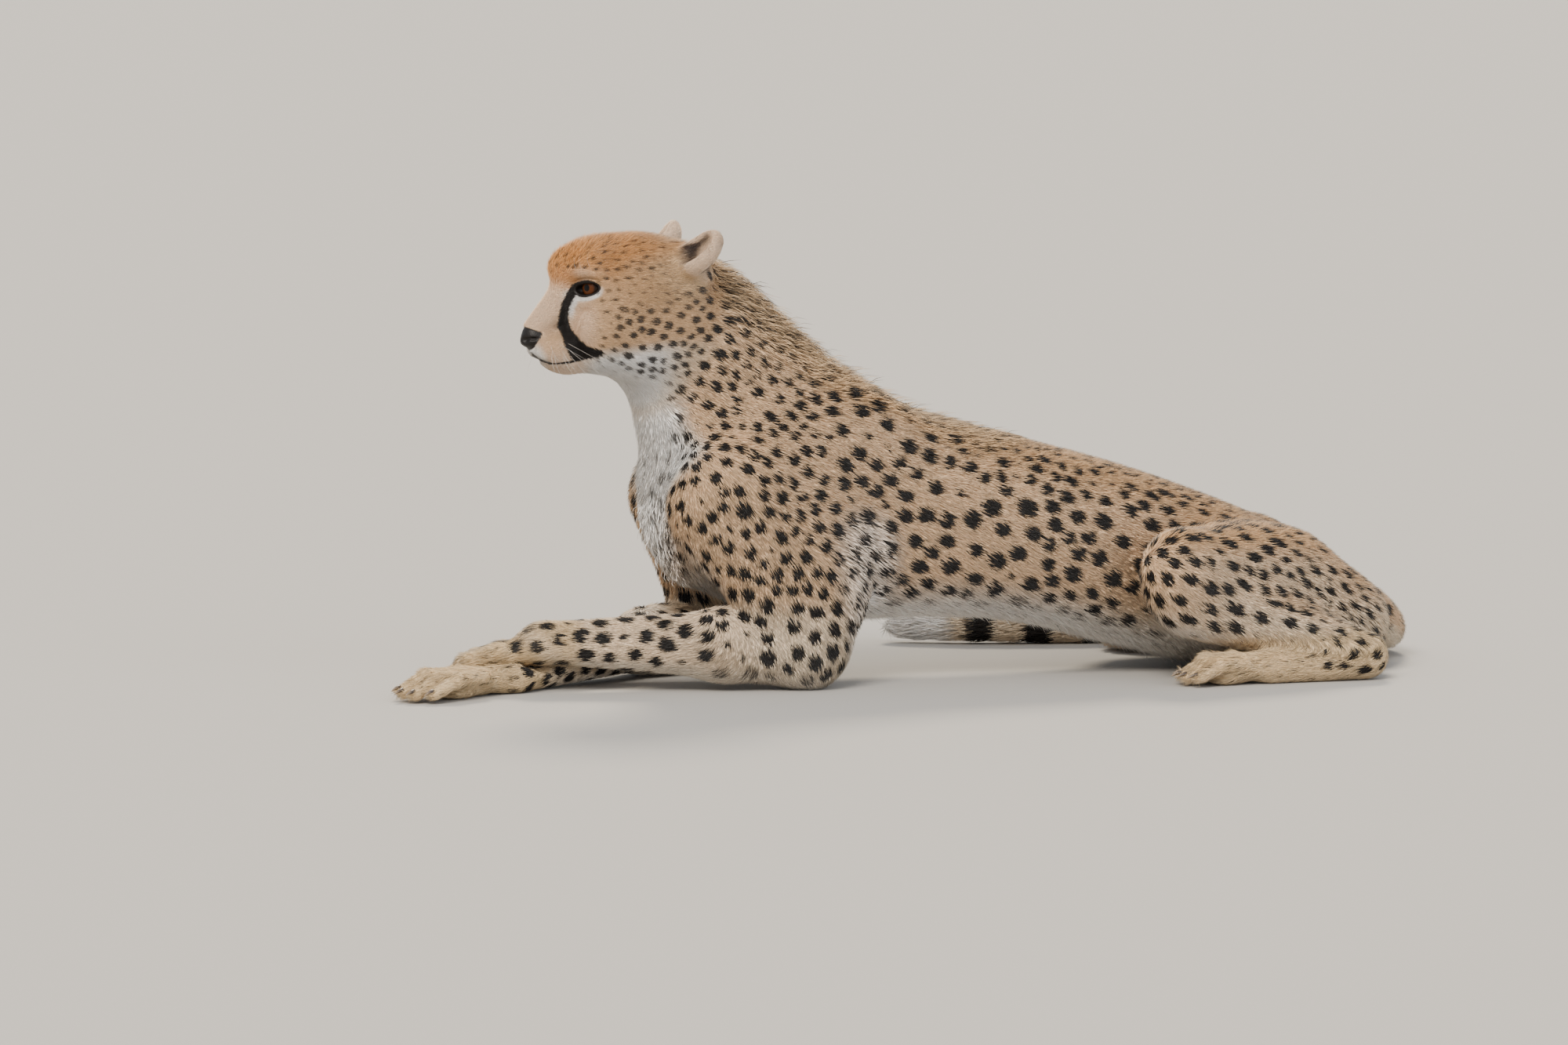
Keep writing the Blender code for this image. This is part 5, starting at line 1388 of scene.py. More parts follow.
def make_coat(skin, look):
    """Lays the coat on the skin: roots are scattered over its triangles, as many as the hair's size needs
    to cover it, and each root takes its hair and its markings from the skin's points."""
    mesh = skin.data
    points = read(mesh, "co")
    mesh.calc_loop_triangles()
    corners = corners_of(mesh.loop_triangles, 3)
    normals, lie, hair = read(mesh, "facing"), read(mesh, "lie"), read(mesh, "hair")
    tint = read(mesh, "tint", 4)[:, :3]
    marks, bare_skin = read(mesh, "mark", 1), read(mesh, "bare", 1)
    place, run, shape = read(mesh, "spot_place"), read(mesh, "spot_run"), read(mesh, "spot_shape")
    bend = bend_along(points, normals, lie, corners_of(mesh.edges, 2))
    region = regions_of(points + np.array(HOME))[corners[:, 0]]
    side_a = points[corners[:, 1]] - points[corners[:, 0]]
    side_b = points[corners[:, 2]] - points[corners[:, 0]]
    area = np.linalg.norm(np.cross(side_a, side_b), axis=1) / 2
    size = hair[corners].mean(axis=1)
    wanted = area * look.cover * 1 / (size[:, 0] * size[:, 1] / 2)
    black = np.array(look.black[:3])
    low, high = (np.array(corner) for corner in CAD_BOX)
    low[2] = max(low[2], 0.0) + LOWEST
    for number, name in enumerate(REGIONS):
        random = np.random.default_rng(look.seed + 100 + number)
        own = np.flatnonzero(region == number)
        expected = wanted[own]
        heavy = np.where(size[own, 0] > LONG_HAIR, LONG_TUFT, SHORT_TUFT)
        expected *= min(1.0, MOST_TRIANGLES / max((expected * heavy).sum(), 1))
        triangle = np.repeat(own, np.floor(expected + random.random(len(own))).astype(int))
        u, v = random.random(len(triangle)), random.random(len(triangle))
        over = u + v > 1
        u, v = np.where(over, 1 - u, u), np.where(over, 1 - v, v)
        share = np.stack([1 - u - v, u, v], axis=1)[:, :, None]
        at = corners[triangle]

        def on_skin(values, at=at, share=share):
            return (values[at] * (share if values.ndim > 1 else share[:, :, 0])).sum(axis=1)

        root, bare = on_skin(points), on_skin(bare_skin)
        normal = on_skin(normals)
        clear = (bare < 0.35) & ((root[:, 2] > 0.0022) | (normal[:, 2] > -0.7))
        root, normal, direction = root[clear], normal[clear], on_skin(lie)[clear]
        normal = unit(normal)
        direction = laid_flat(direction, normal)
        coat_here = on_skin(hair)[clear]
        fray = np.minimum(coat_here[:, 0], LONG_HAIR) * 0.05 * random.normal(0, 1, len(root))
        closest = at[np.arange(len(at)), share[:, :, 0].argmax(axis=1)][clear]
        middle = root + direction * np.minimum(coat_here[:, :1], LONG_HAIR) * 0.55
        edge, mark = from_spot(middle, place[closest], run[closest], shape[closest]), on_skin(marks)[clear]
        ink = np.where((mark < edge) & (mark < 0.003), 1.0, shape[closest][:, 2])
        dark = soft(np.minimum(edge, mark) + fray, MARK_FEATHER, -MARK_FEATHER) * ink
        dark = np.where(random.random(len(root)) < dark, np.maximum(dark, MARKED), dark * STRAY)
        shade = random.uniform(*SHADES, len(root))
        shade *= np.where(random.random(len(root)) < DULL_SHARE, DULL, 1.0)
        plain = np.clip(on_skin(tint)[clear] * shade[:, None], 0, 1)
        colours = plain + (black * random.uniform(0.7, 1.5, len(root))[:, None] - plain) * dark[:, None]
        made_of = tufts(root, normal, direction, coat_here, on_skin(bend)[clear], random, look.ragged)
        mesh_points, faces, owner, along = made_of
        mesh_points = np.clip(mesh_points, low, high)
        where = chart(root, normal)[owner[faces]]
        where = where + np.array(((-0.5, -0.5), (0.5, -0.5), (0, 0.5)))[None] * PATCH
        coat = fill_mesh("coat_" + name, mesh_points, faces, where.reshape(-1, 2))
        # Painted shade at each tuft's root, where the other tufts hide it, and painted light towards its tip.
        tone = (ROOT_SHADE + TIP_LIGHT_GAIN * along)[:, None] * colours[owner]
        tone = np.concatenate([np.clip(tone, 0, 1), np.ones((len(tone), 1))], axis=1)
        keep(coat.data, "hair_colour", tone, "FLOAT_COLOR")
        coat.data.materials.append(bpy.data.materials["guard_hair"])
        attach(coat, "root")
        print(coat.name, len(root), "tufts", len(faces), "triangles")


# ---------------------------------------------------------------- eyes, claws and whiskers


def grid_faces(rows, columns):
    """The quads of a grid of points that closes on itself across its columns."""
    row, column = np.meshgrid(np.arange(rows - 1), np.arange(columns), indexing="ij")
    a, b = row * columns + column, row * columns + (column + 1) % columns
    return np.stack([a, b, b + columns, a + columns], axis=-1).reshape(-1, 4)


def to_world(points, side):
    """Points from the head's frame, on the left side or the right, to the row's frame."""
    matrix = np.array(head_matrix())
    flipped = points * np.array((1, -side, 1))
    return flipped @ matrix[:3, :3].T + matrix[:3, 3] - np.array(HOME)


CORNEA_RISE, CORNEA_REACH = 0.030, 0.55  # its height, as a share of the radius, and its half angle


def make_eye(side):
    """An eyeball turned about where it looks: the radius is that of a ball, with a bell-shaped rise over
    the iris for the cornea. Each point keeps its angle from the axis and its place round it, which the iris
    is drawn from."""
    rings, turns = 44, 56
    away = np.linspace(0.004, math.pi - 0.004, rings)[:, None]
    around = np.linspace(0, math.tau, turns, endpoint=False)[None, :]
    radius = (EYE_RADIUS - 0.0003) * (1 + CORNEA_RISE * np.exp(-((away / CORNEA_REACH) ** 4)))
    axes = eye_frame()
    wide = radius * np.sin(away)
    local = [radius * np.cos(away) + 0 * around, wide * np.cos(around), wide * np.sin(around)]
    points = np.stack(local, axis=-1).reshape(-1, 3) @ axes + np.array(EYE_PLACE)
    faces = grid_faces(rings, turns)
    if side == LEFT:
        faces = faces[:, ::-1]
    eye = fill_mesh(f"eyeball_{SIDE_NAMES[side]}", to_world(points, side), faces)
    build = bmesh.new()
    build.from_mesh(eye.data)
    bmesh.ops.holes_fill(build, edges=build.edges, sides=turns)
    bmesh.ops.recalc_face_normals(build, faces=build.faces)
    build.to_mesh(eye.data)
    build.free()
    grid_away, grid_around = np.broadcast_arrays(away, around)
    pattern = [np.cos(grid_around), np.sin(grid_around), grid_away]
    keep(eye.data, "iris", np.stack(pattern, axis=-1).reshape(-1, 3), "FLOAT_VECTOR")
    eye.data.materials.append(bpy.data.materials["wet_eye"])
    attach(eye, "root")
    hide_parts(f"eye_{SIDE_NAMES[side]}")


def tube(path, radii, sides=6):
    """A closed, tapering tube: a ring of points round each place of the path, square to its run."""
    path = np.asarray(path, float)
    run = unit(np.gradient(path, axis=0))
    helper = np.array((0.0, 0.0, 1.0)) if abs(run[0, 2]) < 0.9 else np.array((0.0, 1.0, 0.0))
    first = unit(np.cross(run, helper))
    second = np.cross(run, first)
    angle = np.linspace(0, math.tau, sides, endpoint=False)
    ring = first[:, None] * np.cos(angle)[None, :, None] + second[:, None] * np.sin(angle)[None, :, None]
    points = (path[:, None] + ring * np.asarray(radii)[:, None, None]).reshape(-1, 3)
    faces = grid_faces(len(path), sides)[:, ::-1]
    triangles = np.concatenate([faces[:, [0, 1, 2]], faces[:, [0, 2, 3]]])
    last = (len(path) - 1) * sides
    ends = [(0, k, k + 1) for k in range(1, sides - 1)]
    ends += [(last, last + k + 1, last + k) for k in range(1, sides - 1)]
    return points, np.concatenate([triangles, np.array(ends)])


def gather(parts):
    """Several sets of points and faces as one."""
    starts = np.cumsum([0] + [len(points) for points, _ in parts[:-1]])
    faces = [own + start for (_, own), start in zip(parts, starts, strict=True)]
    return np.concatenate([points for points, _ in parts]), np.concatenate(faces)


def make_claws(name, wrist, toes, width, nodes):
    """The four claws of a paw: each a tube that thins towards its point and bends down more and more."""
    frame_at = paw_frame(wrist, toes)
    heading = math.atan2(frame_at[1][0], frame_at[0][0])
    ahead = np.array((math.cos(heading), math.sin(heading), 0.0))
    parts = []
    for _, _, tip in toes_of(wrist, toes, width):
        base = np.array(tip) + ahead * 0.0035 + np.array((0, 0, 0.0035)) - np.array(HOME)
        share = np.linspace(0, 1, CLAW_RINGS)
        drop = 0.30 * CLAW_LENGTH * share**2
        path = base + ahead * (CLAW_LENGTH * 0.985 * share)[:, None] - np.array((0, 0, 1.0)) * drop[:, None]
        path[:, 2] = np.maximum(path[:, 2], 0.0004 + CLAW_RADIUS * 0.5 * (1 - share) ** 0.7)
        parts.append(tube(path, CLAW_RADIUS * np.maximum(1 - share, 0.02) ** 0.62, CLAW_SIDES))
    points, faces = gather(parts)
    points[:, 2] = np.maximum(points[:, 2], LOWEST)
    claws = fill_mesh(name, points, faces)
    along = np.repeat(np.linspace(0, 1, CLAW_RINGS), CLAW_SIDES)
    keep(claws.data, "along", np.tile(along, len(parts)))
    claws.data.materials.append(bpy.data.materials["claw_horn"])
    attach(claws, "root")
    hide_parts(*nodes)


LIP_WHISKER, BROW_WHISKER = 0.00009, 0.00007  # radii at the root
WHISKER_BOW = np.array((-0.30, -0.04, -0.16))  # backwards, inwards and down, as shares of its length
WHISKER_STEPS = 12


def make_whiskers(look):
    """Stiff whiskers from the rows on the upper lip, and a few over each eye. Each is a tube that thins to
    its tip, on a path that sets out sideways and bows backwards and down."""
    random = np.random.default_rng(look.seed + 7)
    parts = []
    for side in (LEFT, RIGHT):
        for row in range(3):
            for place in range(3):
                start = np.array((0.080 - 0.0085 * place - 0.002 * row, 0.030, -0.0310 - 0.0055 * row))
                ahead = 0.30 - 0.24 * place + random.normal(0, 0.05)
                aim = np.array((ahead, 1.0, -0.22 - 0.16 * row + random.normal(0, 0.06)))
                length = look.whisker * random.uniform(0.62, 1.05)
                parts.append(whisker(start, aim, length, side, LIP_WHISKER))
        for place in range(3):
            start = np.array((0.047 - 0.006 * place, 0.030 + 0.002 * place, 0.0480))
            aim = np.array((0.55, 0.55, 0.75))
            parts.append(whisker(start, aim, look.whisker * 0.42, side, BROW_WHISKER))
    points, faces = gather(parts)
    whiskers = fill_mesh("whiskers", points, faces)
    whiskers.data.materials.append(bpy.data.materials["whisker_hair"])
    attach(whiskers, "root")


def whisker(start, aim, length, side, thick):
    """One whisker: its root is moved onto the skin, and its path is the aim times the way along, less a bow
    that grows with the square of it."""
    matrix = np.array(head_matrix())
    placed = (start * np.array((1, -side, 1)))[None] @ matrix[:3, :3].T + matrix[:3, 3]
    root = onto(skin_form, placed, 8, 0.0004, 0.004)[0]
    local = (root - matrix[:3, 3]) @ matrix[:3, :3] * np.array((1, -side, 1))
    share = np.linspace(0, 1, WHISKER_STEPS)[:, None]
    aim = aim / np.linalg.norm(aim)
    path = local + aim * share * length + WHISKER_BOW * length * share**2
    return tube(to_world(path, side), thick * (1 - share[:, 0]) ** 0.8 + 0.00002, 5)


# ---------------------------------------------------------------- materials


def add(tree, kind, settings=None, links=None, out=0):
    """Adds a node of a kind, with its settings (properties by name, sockets by name or number) and its
    links, and returns the output socket asked for."""
    node = tree.nodes.new(kind)
    for key, value in (settings or {}).items():
        if isinstance(key, int) or key in node.inputs:
            node.inputs[key].default_value = value
        else:
            setattr(node, key, value)
    for key, source in (links or {}).items():
        tree.links.new(source, node.inputs[key])
    return node.outputs[out]


def new_material(name, settings):
    """A named material with its Principled shader's own numbers set."""
    material = bpy.data.materials.new(name)
    material.use_nodes = True
    shader = material.node_tree.nodes["Principled BSDF"]
    for key, value in settings.items():
        shader.inputs[key].default_value = value
    return material.node_tree, shader.inputs


def make_skin_material(look):
    """Hide with the shortest hair on it, seen between the tufts: the coat's own tint, darkened by a fine
    noise that is partly the short hairs' own tone and partly painted shade under the tufts, and dark marks
    with frayed edges, and where it is bare, black leather with a pebbled grain on the nose, lids and lips."""
    tree, shader = new_material("short_haired_hide", {"Roughness": 0.75, "Specular IOR Level": 0.3})
    place = add(tree, "ShaderNodeTexCoord", out="Object")
    hairs = add(tree, "ShaderNodeTexNoise", {"Scale": 1 / 0.0011, "Detail": 3.0}, {"Vector": place})
    fray = add(tree, "ShaderNodeMath", {"operation": "MULTIPLY_ADD", 1: 0.0030, 2: -0.0015}, {0: hairs})
    edge = add(tree, "ShaderNodeAttribute", {"attribute_name": "edge"}, out="Fac")
    ink = add(tree, "ShaderNodeAttribute", {"attribute_name": "ink"}, out="Fac")
    bare = add(tree, "ShaderNodeAttribute", {"attribute_name": "bare"}, out="Fac")
    tint = add(tree, "ShaderNodeAttribute", {"attribute_name": "tint"}, out="Color")
    frayed = add(tree, "ShaderNodeMath", {"operation": "ADD"}, {0: edge, 1: fray})
    fade = {"From Min": MARK_FEATHER, "From Max": -MARK_FEATHER}
    settings = {"interpolation_type": "SMOOTHSTEP", **fade}
    dark = add(tree, "ShaderNodeMapRange", settings, {"Value": frayed})
    inked = add(tree, "ShaderNodeMath", {"operation": "MULTIPLY"}, {0: dark, 1: ink})
    # The fine noise darkens the hide to between 0.6 and 1 of its tint: partly the short hairs' own tone, and
    # on the whole painted shade of the tufts over it.
    shade = add(tree, "ShaderNodeMapRange", {"To Min": 0.60, "To Max": 1.0}, {"Value": hairs})
    lit = add(tree, "ShaderNodeVectorMath", {"operation": "SCALE"}, {0: tint, "Scale": shade})
    marked = add(tree, "ShaderNodeMix", {"data_type": "RGBA", 7: (*look.black[:3], 1)}, {0: inked, 6: lit}, 2)
    pebbles = {"Scale": 1 / 0.0011, "feature": "SMOOTH_F1"}
    grain = add(tree, "ShaderNodeTexVoronoi", pebbles, {"Vector": place})
    leather = add(tree, "ShaderNodeMapRange", {"To Min": 0.5, "To Max": 1.2}, {"Value": grain})
    nose = add(tree, "ShaderNodeVectorMath", {"operation": "SCALE", 0: look.leather[:3]}, {"Scale": leather})
    colour = add(tree, "ShaderNodeMix", {"data_type": "RGBA"}, {0: bare, 6: marked, 7: nose}, 2)
    tree.links.new(colour, shader["Base Color"])
    rough = add(tree, "ShaderNodeMapRange", {"To Min": 0.78, "To Max": 0.46}, {"Value": bare})
    tree.links.new(rough, shader["Roughness"])
    fur_bump = add(tree, "ShaderNodeBump", {"Strength": 0.35, "Distance": 0.0005}, {"Height": hairs})
    settings = {"Strength": 0.55, "Distance": 0.0004}
    bump = add(tree, "ShaderNodeBump", settings, {"Height": grain, "Normal": fur_bump})
    tree.links.new(bump, shader["Normal"])


def make_coat_material():
    """Guard hair: each tuft has one colour from its root's place, with painted shade towards its root, where
    it is hidden among the others, and painted light towards its tip, a soft sheen from its scales, and a
    change of tone over a few centimetres down to a few millimetres, as the hair of a coat clumps."""
    settings = {"Roughness": 0.62, "Specular IOR Level": 0.32, "Sheen Weight": 0.12, "Sheen Roughness": 0.4}
    tree, shader = new_material("guard_hair", settings)
    place = add(tree, "ShaderNodeTexCoord", out="Object")
    clumps = {"Scale": 1 / 0.045, "Detail": 5.0, "Roughness": 0.75}
    drift = add(tree, "ShaderNodeTexNoise", clumps, {"Vector": place})
    tone = add(tree, "ShaderNodeMapRange", {"To Min": 0.76, "To Max": 1.24}, {"Value": drift})
    hair = add(tree, "ShaderNodeAttribute", {"attribute_name": "hair_colour"}, out="Color")
    lit = add(tree, "ShaderNodeVectorMath", {"operation": "SCALE"}, {0: hair, "Scale": tone})
    tree.links.new(lit, shader["Base Color"])
    fine = add(tree, "ShaderNodeTexNoise", {"Scale": 1 / 0.002, "Detail": 1.0}, {"Vector": place})
    rough = add(tree, "ShaderNodeMapRange", {"To Min": 0.50, "To Max": 0.74}, {"Value": fine})
    tree.links.new(rough, shader["Roughness"])


def make_eye_material(look):
    """A wet eye: a round black pupil, an amber iris with fine radial threads that darkens to its rim, dark
    brown round it, and a clear, glossy film over all."""
    settings = {"Roughness": 0.30, "Specular IOR Level": 0.1}
    settings |= {"Coat Weight": 0.2, "Coat Roughness": 0.05, "Coat IOR": 1.376}
    tree, shader = new_material("wet_eye", settings)
    pattern = add(tree, "ShaderNodeAttribute", {"attribute_name": "iris"}, out="Vector")
    away = add(tree, "ShaderNodeSeparateXYZ", links={"Vector": pattern}, out="Z")
    stretch = {"operation": "MULTIPLY", 1: (14.0, 14.0, 2.2)}
    stretched = add(tree, "ShaderNodeVectorMath", stretch, {0: pattern})
    threads = add(tree, "ShaderNodeTexNoise", {"Scale": 1.0, "Detail": 5.0}, {"Vector": stretched})
    bright = add(tree, "ShaderNodeMapRange", {"To Min": 0.45, "To Max": 1.55}, {"Value": threads})
    amber = add(tree, "ShaderNodeVectorMath", {"operation": "SCALE", 0: look.iris[:3]}, {"Scale": bright})
    ring = {"interpolation_type": "SMOOTHSTEP", "From Min": 0.47, "From Max": 0.67}
    rim = add(tree, "ShaderNodeMapRange", ring, {"Value": away})
    round_iris = {"data_type": "RGBA", 7: (0.012, 0.006, 0.003, 1)}
    shaded = add(tree, "ShaderNodeMix", round_iris, {0: rim, 6: amber}, 2)
    hole = {"interpolation_type": "SMOOTHSTEP"}
    hole |= {"From Min": look.pupil + 0.012, "From Max": look.pupil - 0.012}
    pupil = add(tree, "ShaderNodeMapRange", hole, {"Value": away})
    black = {"data_type": "RGBA", 7: (0.002, 0.002, 0.002, 1)}
    tree.links.new(add(tree, "ShaderNodeMix", black, {0: pupil, 6: shaded}, 2), shader["Base Color"])
    rough = add(tree, "ShaderNodeMapRange", {"To Min": 0.22, "To Max": 0.38}, {"Value": threads})
    tree.links.new(rough, shader["Roughness"])


def make_claw_material():
    """Keratin claws, dark and streaked lengthwise, worn pale at the point."""
    tree, shader = new_material("claw_horn", {"Roughness": 0.36, "IOR": 1.54})
    place = add(tree, "ShaderNodeTexCoord", out="Object")
    streak = add(tree, "ShaderNodeTexNoise", {"Scale": 1 / 0.0012, "Detail": 3.0}, {"Vector": place})
    along = add(tree, "ShaderNodeAttribute", {"attribute_name": "along"}, out="Fac")
    worn = add(tree, "ShaderNodeMapRange", {"From Min": 0.35, "From Max": 1.1}, {"Value": along})
    horns = {"data_type": "RGBA", 6: (*linear("#3A2E27"), 1), 7: (*linear("#A08A70"), 1)}
    horn = add(tree, "ShaderNodeMix", horns, {0: worn}, 2)
    tone = add(tree, "ShaderNodeMapRange", {"To Min": 0.7, "To Max": 1.25}, {"Value": streak})
    lit = add(tree, "ShaderNodeVectorMath", {"operation": "SCALE"}, {0: horn, "Scale": tone})
    tree.links.new(lit, shader["Base Color"])
    rough = add(tree, "ShaderNodeMapRange", {"To Min": 0.26, "To Max": 0.48}, {"Value": streak})
    tree.links.new(rough, shader["Roughness"])
    bump = add(tree, "ShaderNodeBump", {"Strength": 0.3, "Distance": 0.0002}, {"Height": streak})
    tree.links.new(bump, shader["Normal"])


def make_whisker_material():
    """Stiff, pale whiskers that shine a little and change tone along their length."""
    tree, shader = new_material("whisker_hair", {"Roughness": 0.35, "Specular IOR Level": 0.6})
    place = add(tree, "ShaderNodeTexCoord", out="Object")
    mottle = add(tree, "ShaderNodeTexNoise", {"Scale": 1 / 0.006}, {"Vector": place})
    tones = {"data_type": "RGBA", 6: (*linear("#FFFFFF"), 1), 7: (*linear("#CDBFAA"), 1)}
    tree.links.new(add(tree, "ShaderNodeMix", tones, {0: mottle}, 2), shader["Base Color"])


# ---------------------------------------------------------------- settings, operators and the panel


def colour_setting(code, description):
    """A colour setting whose default is an sRGB hex code, made linear."""
    return bpy.props.FloatVectorProperty(
        name=description.split(" of ")[0].split(" along ")[0],
        description=description,
        subtype="COLOR",
        size=3,
        min=0,
        max=1,
        default=linear(code),
    )


def length_setting(name, description, default):
    """A length in metres."""
    return bpy.props.FloatProperty(name=name, description=description, default=default, min=0, unit="LENGTH")


class CheetahLook(bpy.types.PropertyGroup):
    """The sizes and colours of the animal."""

    cell: length_setting("Skin cell", "Width of a cell of the net that the skin is drawn on", 0.0056)
    body_hair: length_setting("Body hair", "Length of the hair on the flanks", 0.0115)
    mane_hair: length_setting("Mane hair", "Length of the hair on the nape and withers", 0.036)
    face_hair: length_setting("Face hair", "Length of the hair on the cheeks", 0.0062)
    tuft_width: length_setting("Tuft width", "Width of a tuft of body hair at its root", 0.00148)
    whisker: length_setting("Whisker", "Length of the longest whiskers", 0.072)
    cover: bpy.props.FloatProperty(
        name="Cover", description="Layers of tufts over each place", default=2.2, min=0
    )
    ragged: bpy.props.FloatProperty(
        name="Ragged",
        description="How far tufts stray from the lie of the hair",
        default=0.12,
        subtype="ANGLE",
    )
    pupil: bpy.props.FloatProperty(
        name="Pupil",
        description="Half angle of the pupil, from the middle of the eye",
        default=0.24,
        subtype="ANGLE",
    )
    seed: bpy.props.IntProperty(name="Seed", description="Start of every random draw", default=11)
    iris: colour_setting("#4C2812", "Amber of the iris")
    leather: colour_setting("#16110F", "Black of the nose, lids and lips")


for key, (code, description) in PALETTE.items():
    CheetahLook.__annotations__[key] = colour_setting(code, description)


class StageLook(bpy.types.PropertyGroup):
    """The floor, the lamps and the camera."""

    floor: colour_setting("#A7A49F", "Pale grey of the floor")
    sky: colour_setting("#EEF1F5", "Pale light of the room")
    lamp: bpy.props.FloatProperty(
        name="Lamps", description="Light of the main lamp, in watts a square metre", default=3.6
    )
    room: bpy.props.FloatProperty(
        name="Room light", description="Strength of the light all round", default=0.95
    )
    distance: length_setting("Distance", "From the camera to the middle of its view", 12.0)
    span: length_setting("Span", "Width of what the camera sees at that distance", 1.7)
    azimuth: bpy.props.FloatProperty(
        name="Azimuth",
        description="Camera's turn round the model",
        default=math.radians(-12),
        subtype="ANGLE",
    )
    elevation: bpy.props.FloatProperty(
        name="Elevation",
        description="Camera's height over the horizon",
        default=math.radians(6),
        subtype="ANGLE",
    )


FLESH = ("trunk", "neck", "head", "ear_left", "ear_right", "tail_base", "tail_middle", "tail_tip")
FLESH += tuple(
    f"{part}_{side}" for part in ("upper_foreleg", "forearm", "forepaw") for side in ("left", "right")
)
FLESH += tuple(f"{part}_{side}" for part in ("thigh", "hind_foot") for side in ("left", "right"))


class CHEETAH_OT_materials(bpy.types.Operator):
    """Makes the hide, hair, eye, claw and whisker materials"""

    bl_idname = "cheetah.materials"
    bl_label = "Materials"

    def execute(self, context):
        look = context.scene.cheetah_look
        make_skin_material(look)
        make_coat_material()
        make_eye_material(look)
        make_claw_material()
        make_whisker_material()
        return {"FINISHED"}


class CHEETAH_OT_skin(bpy.types.Operator):
    """Draws the whole skin under the coat, and stores its markings and the lie of the hair on it"""

    bl_idname = "cheetah.skin"
    bl_label = "Skin"

    def execute(self, context):
        look = context.scene.cheetah_look
        skin = skin_mesh(look.cell * (1))
        mesh = skin.data
        points = read(mesh, "co")
        normals = np.empty(len(points) * 3, np.float32)
        mesh.vertices.foreach_get("normal", normals)
        edges = corners_of(mesh.edges, 2)
        normals = unit(spread(normals.reshape(-1, 3).astype(float), edges, 2))
        lie = laid_flat(spread(lie_of_hair(points, normals), edges, 4), normals)
        random = np.random.default_rng(look.seed)
        tint, edge, ink, marks, spot, bare, hair = markings(points, normals, lie, look, random)
        keep(mesh, "facing", normals, "FLOAT_VECTOR")
        keep(mesh, "lie", lie, "FLOAT_VECTOR")
        keep(mesh, "hair", hair, "FLOAT_VECTOR")
        keep(mesh, "tint", np.concatenate([tint, np.ones((len(tint), 1))], axis=1), "FLOAT_COLOR")
        for name, values in (("edge", edge), ("ink", ink), ("mark", marks), ("bare", bare)):
            keep(mesh, name, values)
        spot[0] = spot[0] - np.array(HOME)
        for name, values in zip(("spot_place", "spot_run", "spot_shape"), spot, strict=True):
            keep(mesh, name, values, "FLOAT_VECTOR")
        mesh.vertices.foreach_set("co", (points - np.array(HOME)).astype(np.float32).ravel())
        mesh.update()
        mesh.materials.append(bpy.data.materials["short_haired_hide"])
        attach(skin, "root")
        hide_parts(*FLESH)
        return {"FINISHED"}


class CHEETAH_OT_coat(bpy.types.Operator):
    """Lays the coat on the skin in thin tufts, in one piece for each part of the body"""

    bl_idname = "cheetah.coat"
    bl_label = "Coat"

    def execute(self, context):
        skin = bpy.data.objects.get("skin")
        if skin is None:
            raise RuntimeError("make the skin before the coat")
        make_coat(skin, context.scene.cheetah_look)
        return {"FINISHED"}


class CHEETAH_OT_eyes(bpy.types.Operator):
    """Makes both eyeballs, with the cornea's rise over the iris"""

    bl_idname = "cheetah.eyes"
    bl_label = "Eyes"

    def execute(self, context):
        for side in (LEFT, RIGHT):
            make_eye(side)
        return {"FINISHED"}


class CHEETAH_OT_claws(bpy.types.Operator):
    """Makes the claws of all four paws"""

    bl_idname = "cheetah.claws"
    bl_label = "Claws"

    def execute(self, context):
        instep = HOCK.lerp(HIND_TOES, 0.5) + Vector((0, 0, 0.004))
        for side in (LEFT, RIGHT):
            name, flip = SIDE_NAMES[side], Vector((1, side, 1))
            fore, hind = f"fore_claw_{name}", f"hind_claw_{name}"
            nodes = [f"{fore}_{k}" for k in range(1, 5)]
            make_claws(f"claws_fore_{name}", WRIST[side], FORE_TOES[side], FOREPAW_WIDTH, nodes)
            nodes = [f"{hind}_{k}" for k in range(1, 5)]
            make_claws(f"claws_hind_{name}", instep * flip, HIND_TOES * flip, HIND_PAW_WIDTH, nodes)
        return {"FINISHED"}


class CHEETAH_OT_whiskers(bpy.types.Operator):
    """Makes the whiskers of the upper lip and the brow"""

    bl_idname = "cheetah.whiskers"
    bl_label = "Whiskers"

    def execute(self, context):
        make_whiskers(context.scene.cheetah_look)
        return {"FINISHED"}


FLOOR_HALF = 40.0  # half the width of the floor
VIEW_MIDDLE = Vector((-0.121, -0.0005, 0.162))  # the place that the camera looks at
# Each lamp: name, the place it shines from towards the origin, its width in degrees, share of the main
# lamp's light, and colour.
LAMPS = (
    ("key", (-1.3, -2.0, 2.4), 30, 1.0, "#FFF6EA"),
    ("fill", (2.2, -2.6, 1.2), 60, 0.35, "#EEF3FA"),
    ("rim", (0.5, 2.2, 1.9), 15, 0.9, "#FFEFD6"),
)


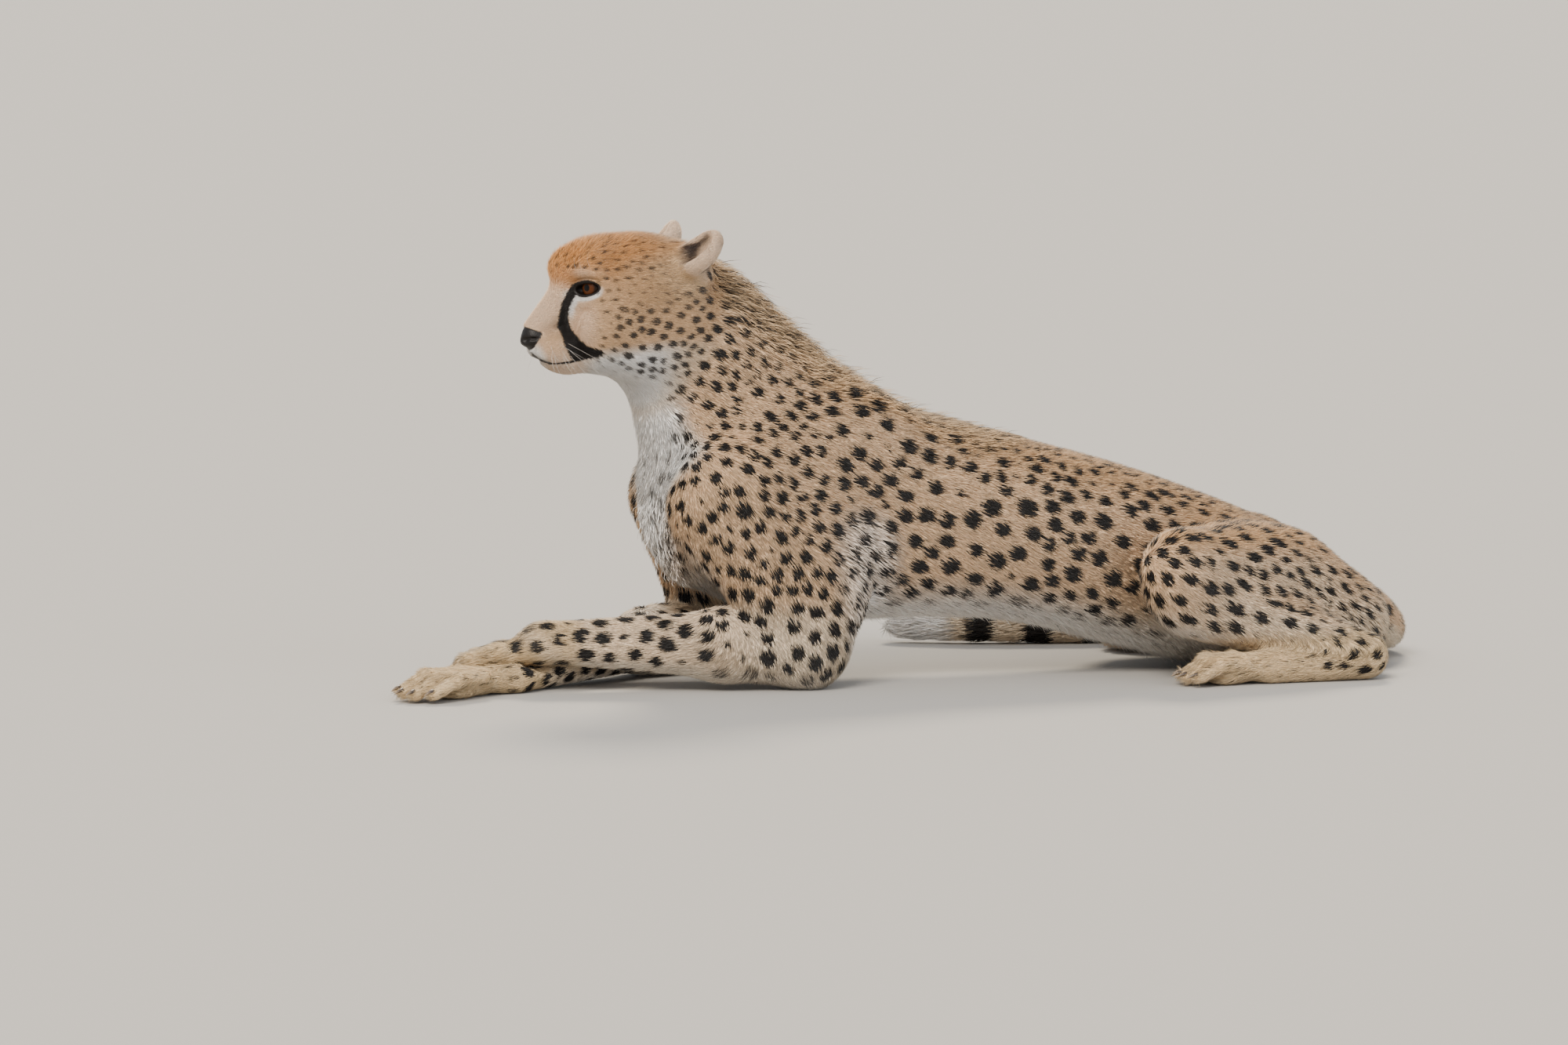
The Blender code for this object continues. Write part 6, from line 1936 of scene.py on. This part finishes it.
class CHEETAH_OT_stage(bpy.types.Operator):
    """Lays the pale floor, hangs three soft lamps and places the camera"""

    bl_idname = "cheetah.stage"
    bl_label = "Stage"

    def execute(self, context):
        look = context.scene.cheetah_stage
        scene = context.scene
        corners = np.array(((-1, -1, 0), (1, -1, 0), (1, 1, 0), (-1, 1, 0))) * FLOOR_HALF
        floor = fill_mesh("floor", corners, np.array(((0, 1, 2, 3),)))
        new_material("matt_painted_floor", {"Roughness": 0.85, "Base Color": (*look.floor, 1)})
        floor.data.materials.append(bpy.data.materials["matt_painted_floor"])
        world = bpy.data.worlds.new("room")
        world.use_nodes = True
        world.node_tree.nodes["Background"].inputs["Color"].default_value = (*look.sky, 1)
        world.node_tree.nodes["Background"].inputs["Strength"].default_value = look.room
        scene.world = world
        for name, place, spread_angle, power, code in LAMPS:
            light = bpy.data.lights.new(name, "SUN")
            light.angle = math.radians(spread_angle)
            light.energy = look.lamp * power
            light.color = linear(code)
            lamp = bpy.data.objects.new(name, light)
            scene.collection.objects.link(lamp)
            lamp.location = place
            lamp.rotation_mode = "QUATERNION"
            lamp.rotation_quaternion = (-lamp.location).to_track_quat("-Z", "Y")
        turn, rise = look.azimuth, look.elevation
        level = math.cos(rise)
        back = Vector((math.sin(turn) * level, -math.cos(turn) * level, math.sin(rise)))
        lens = bpy.data.cameras.new("camera")
        lens.sensor_width = 36
        lens.lens = lens.sensor_width * look.distance / look.span
        lens.clip_start, lens.clip_end = 0.1, 200
        camera = bpy.data.objects.new("camera", lens)
        scene.collection.objects.link(camera)
        camera.location = VIEW_MIDDLE + back * look.distance
        camera.rotation_mode = "QUATERNION"
        camera.rotation_quaternion = (-back).to_track_quat("-Z", "Y")
        scene.camera = camera
        return {"FINISHED"}


OPERATORS = (
    CHEETAH_OT_materials,
    CHEETAH_OT_skin,
    CHEETAH_OT_coat,
    CHEETAH_OT_eyes,
    CHEETAH_OT_claws,
    CHEETAH_OT_whiskers,
    CHEETAH_OT_stage,
)


class CHEETAH_PT_panel(bpy.types.Panel):
    """Lists the pieces of the cheetah and their settings"""

    bl_idname = "CHEETAH_PT_panel"
    bl_label = "Cheetah"
    bl_space_type = "VIEW_3D"
    bl_region_type = "UI"
    bl_category = "Cheetah"

    def draw(self, context):
        for operator in OPERATORS:
            self.layout.operator(operator.bl_idname)
        for group in (context.scene.cheetah_look, context.scene.cheetah_stage):
            box = self.layout.box()
            for name in group.__annotations__:
                box.prop(group, name)


CLASSES = (CheetahLook, StageLook, *OPERATORS, CHEETAH_PT_panel)


def register():
    for each in CLASSES:
        bpy.utils.register_class(each)
    bpy.types.Scene.cheetah_look = bpy.props.PointerProperty(type=CheetahLook)
    bpy.types.Scene.cheetah_stage = bpy.props.PointerProperty(type=StageLook)


def unregister():
    del bpy.types.Scene.cheetah_look
    del bpy.types.Scene.cheetah_stage
    for each in reversed(CLASSES):
        bpy.utils.unregister_class(each)


def main():
    register()
    for name in ("materials", "skin", "coat", "eyes", "claws", "whiskers", "stage"):
        getattr(bpy.ops.cheetah, name)()


if __name__ == "__main__":
    main()
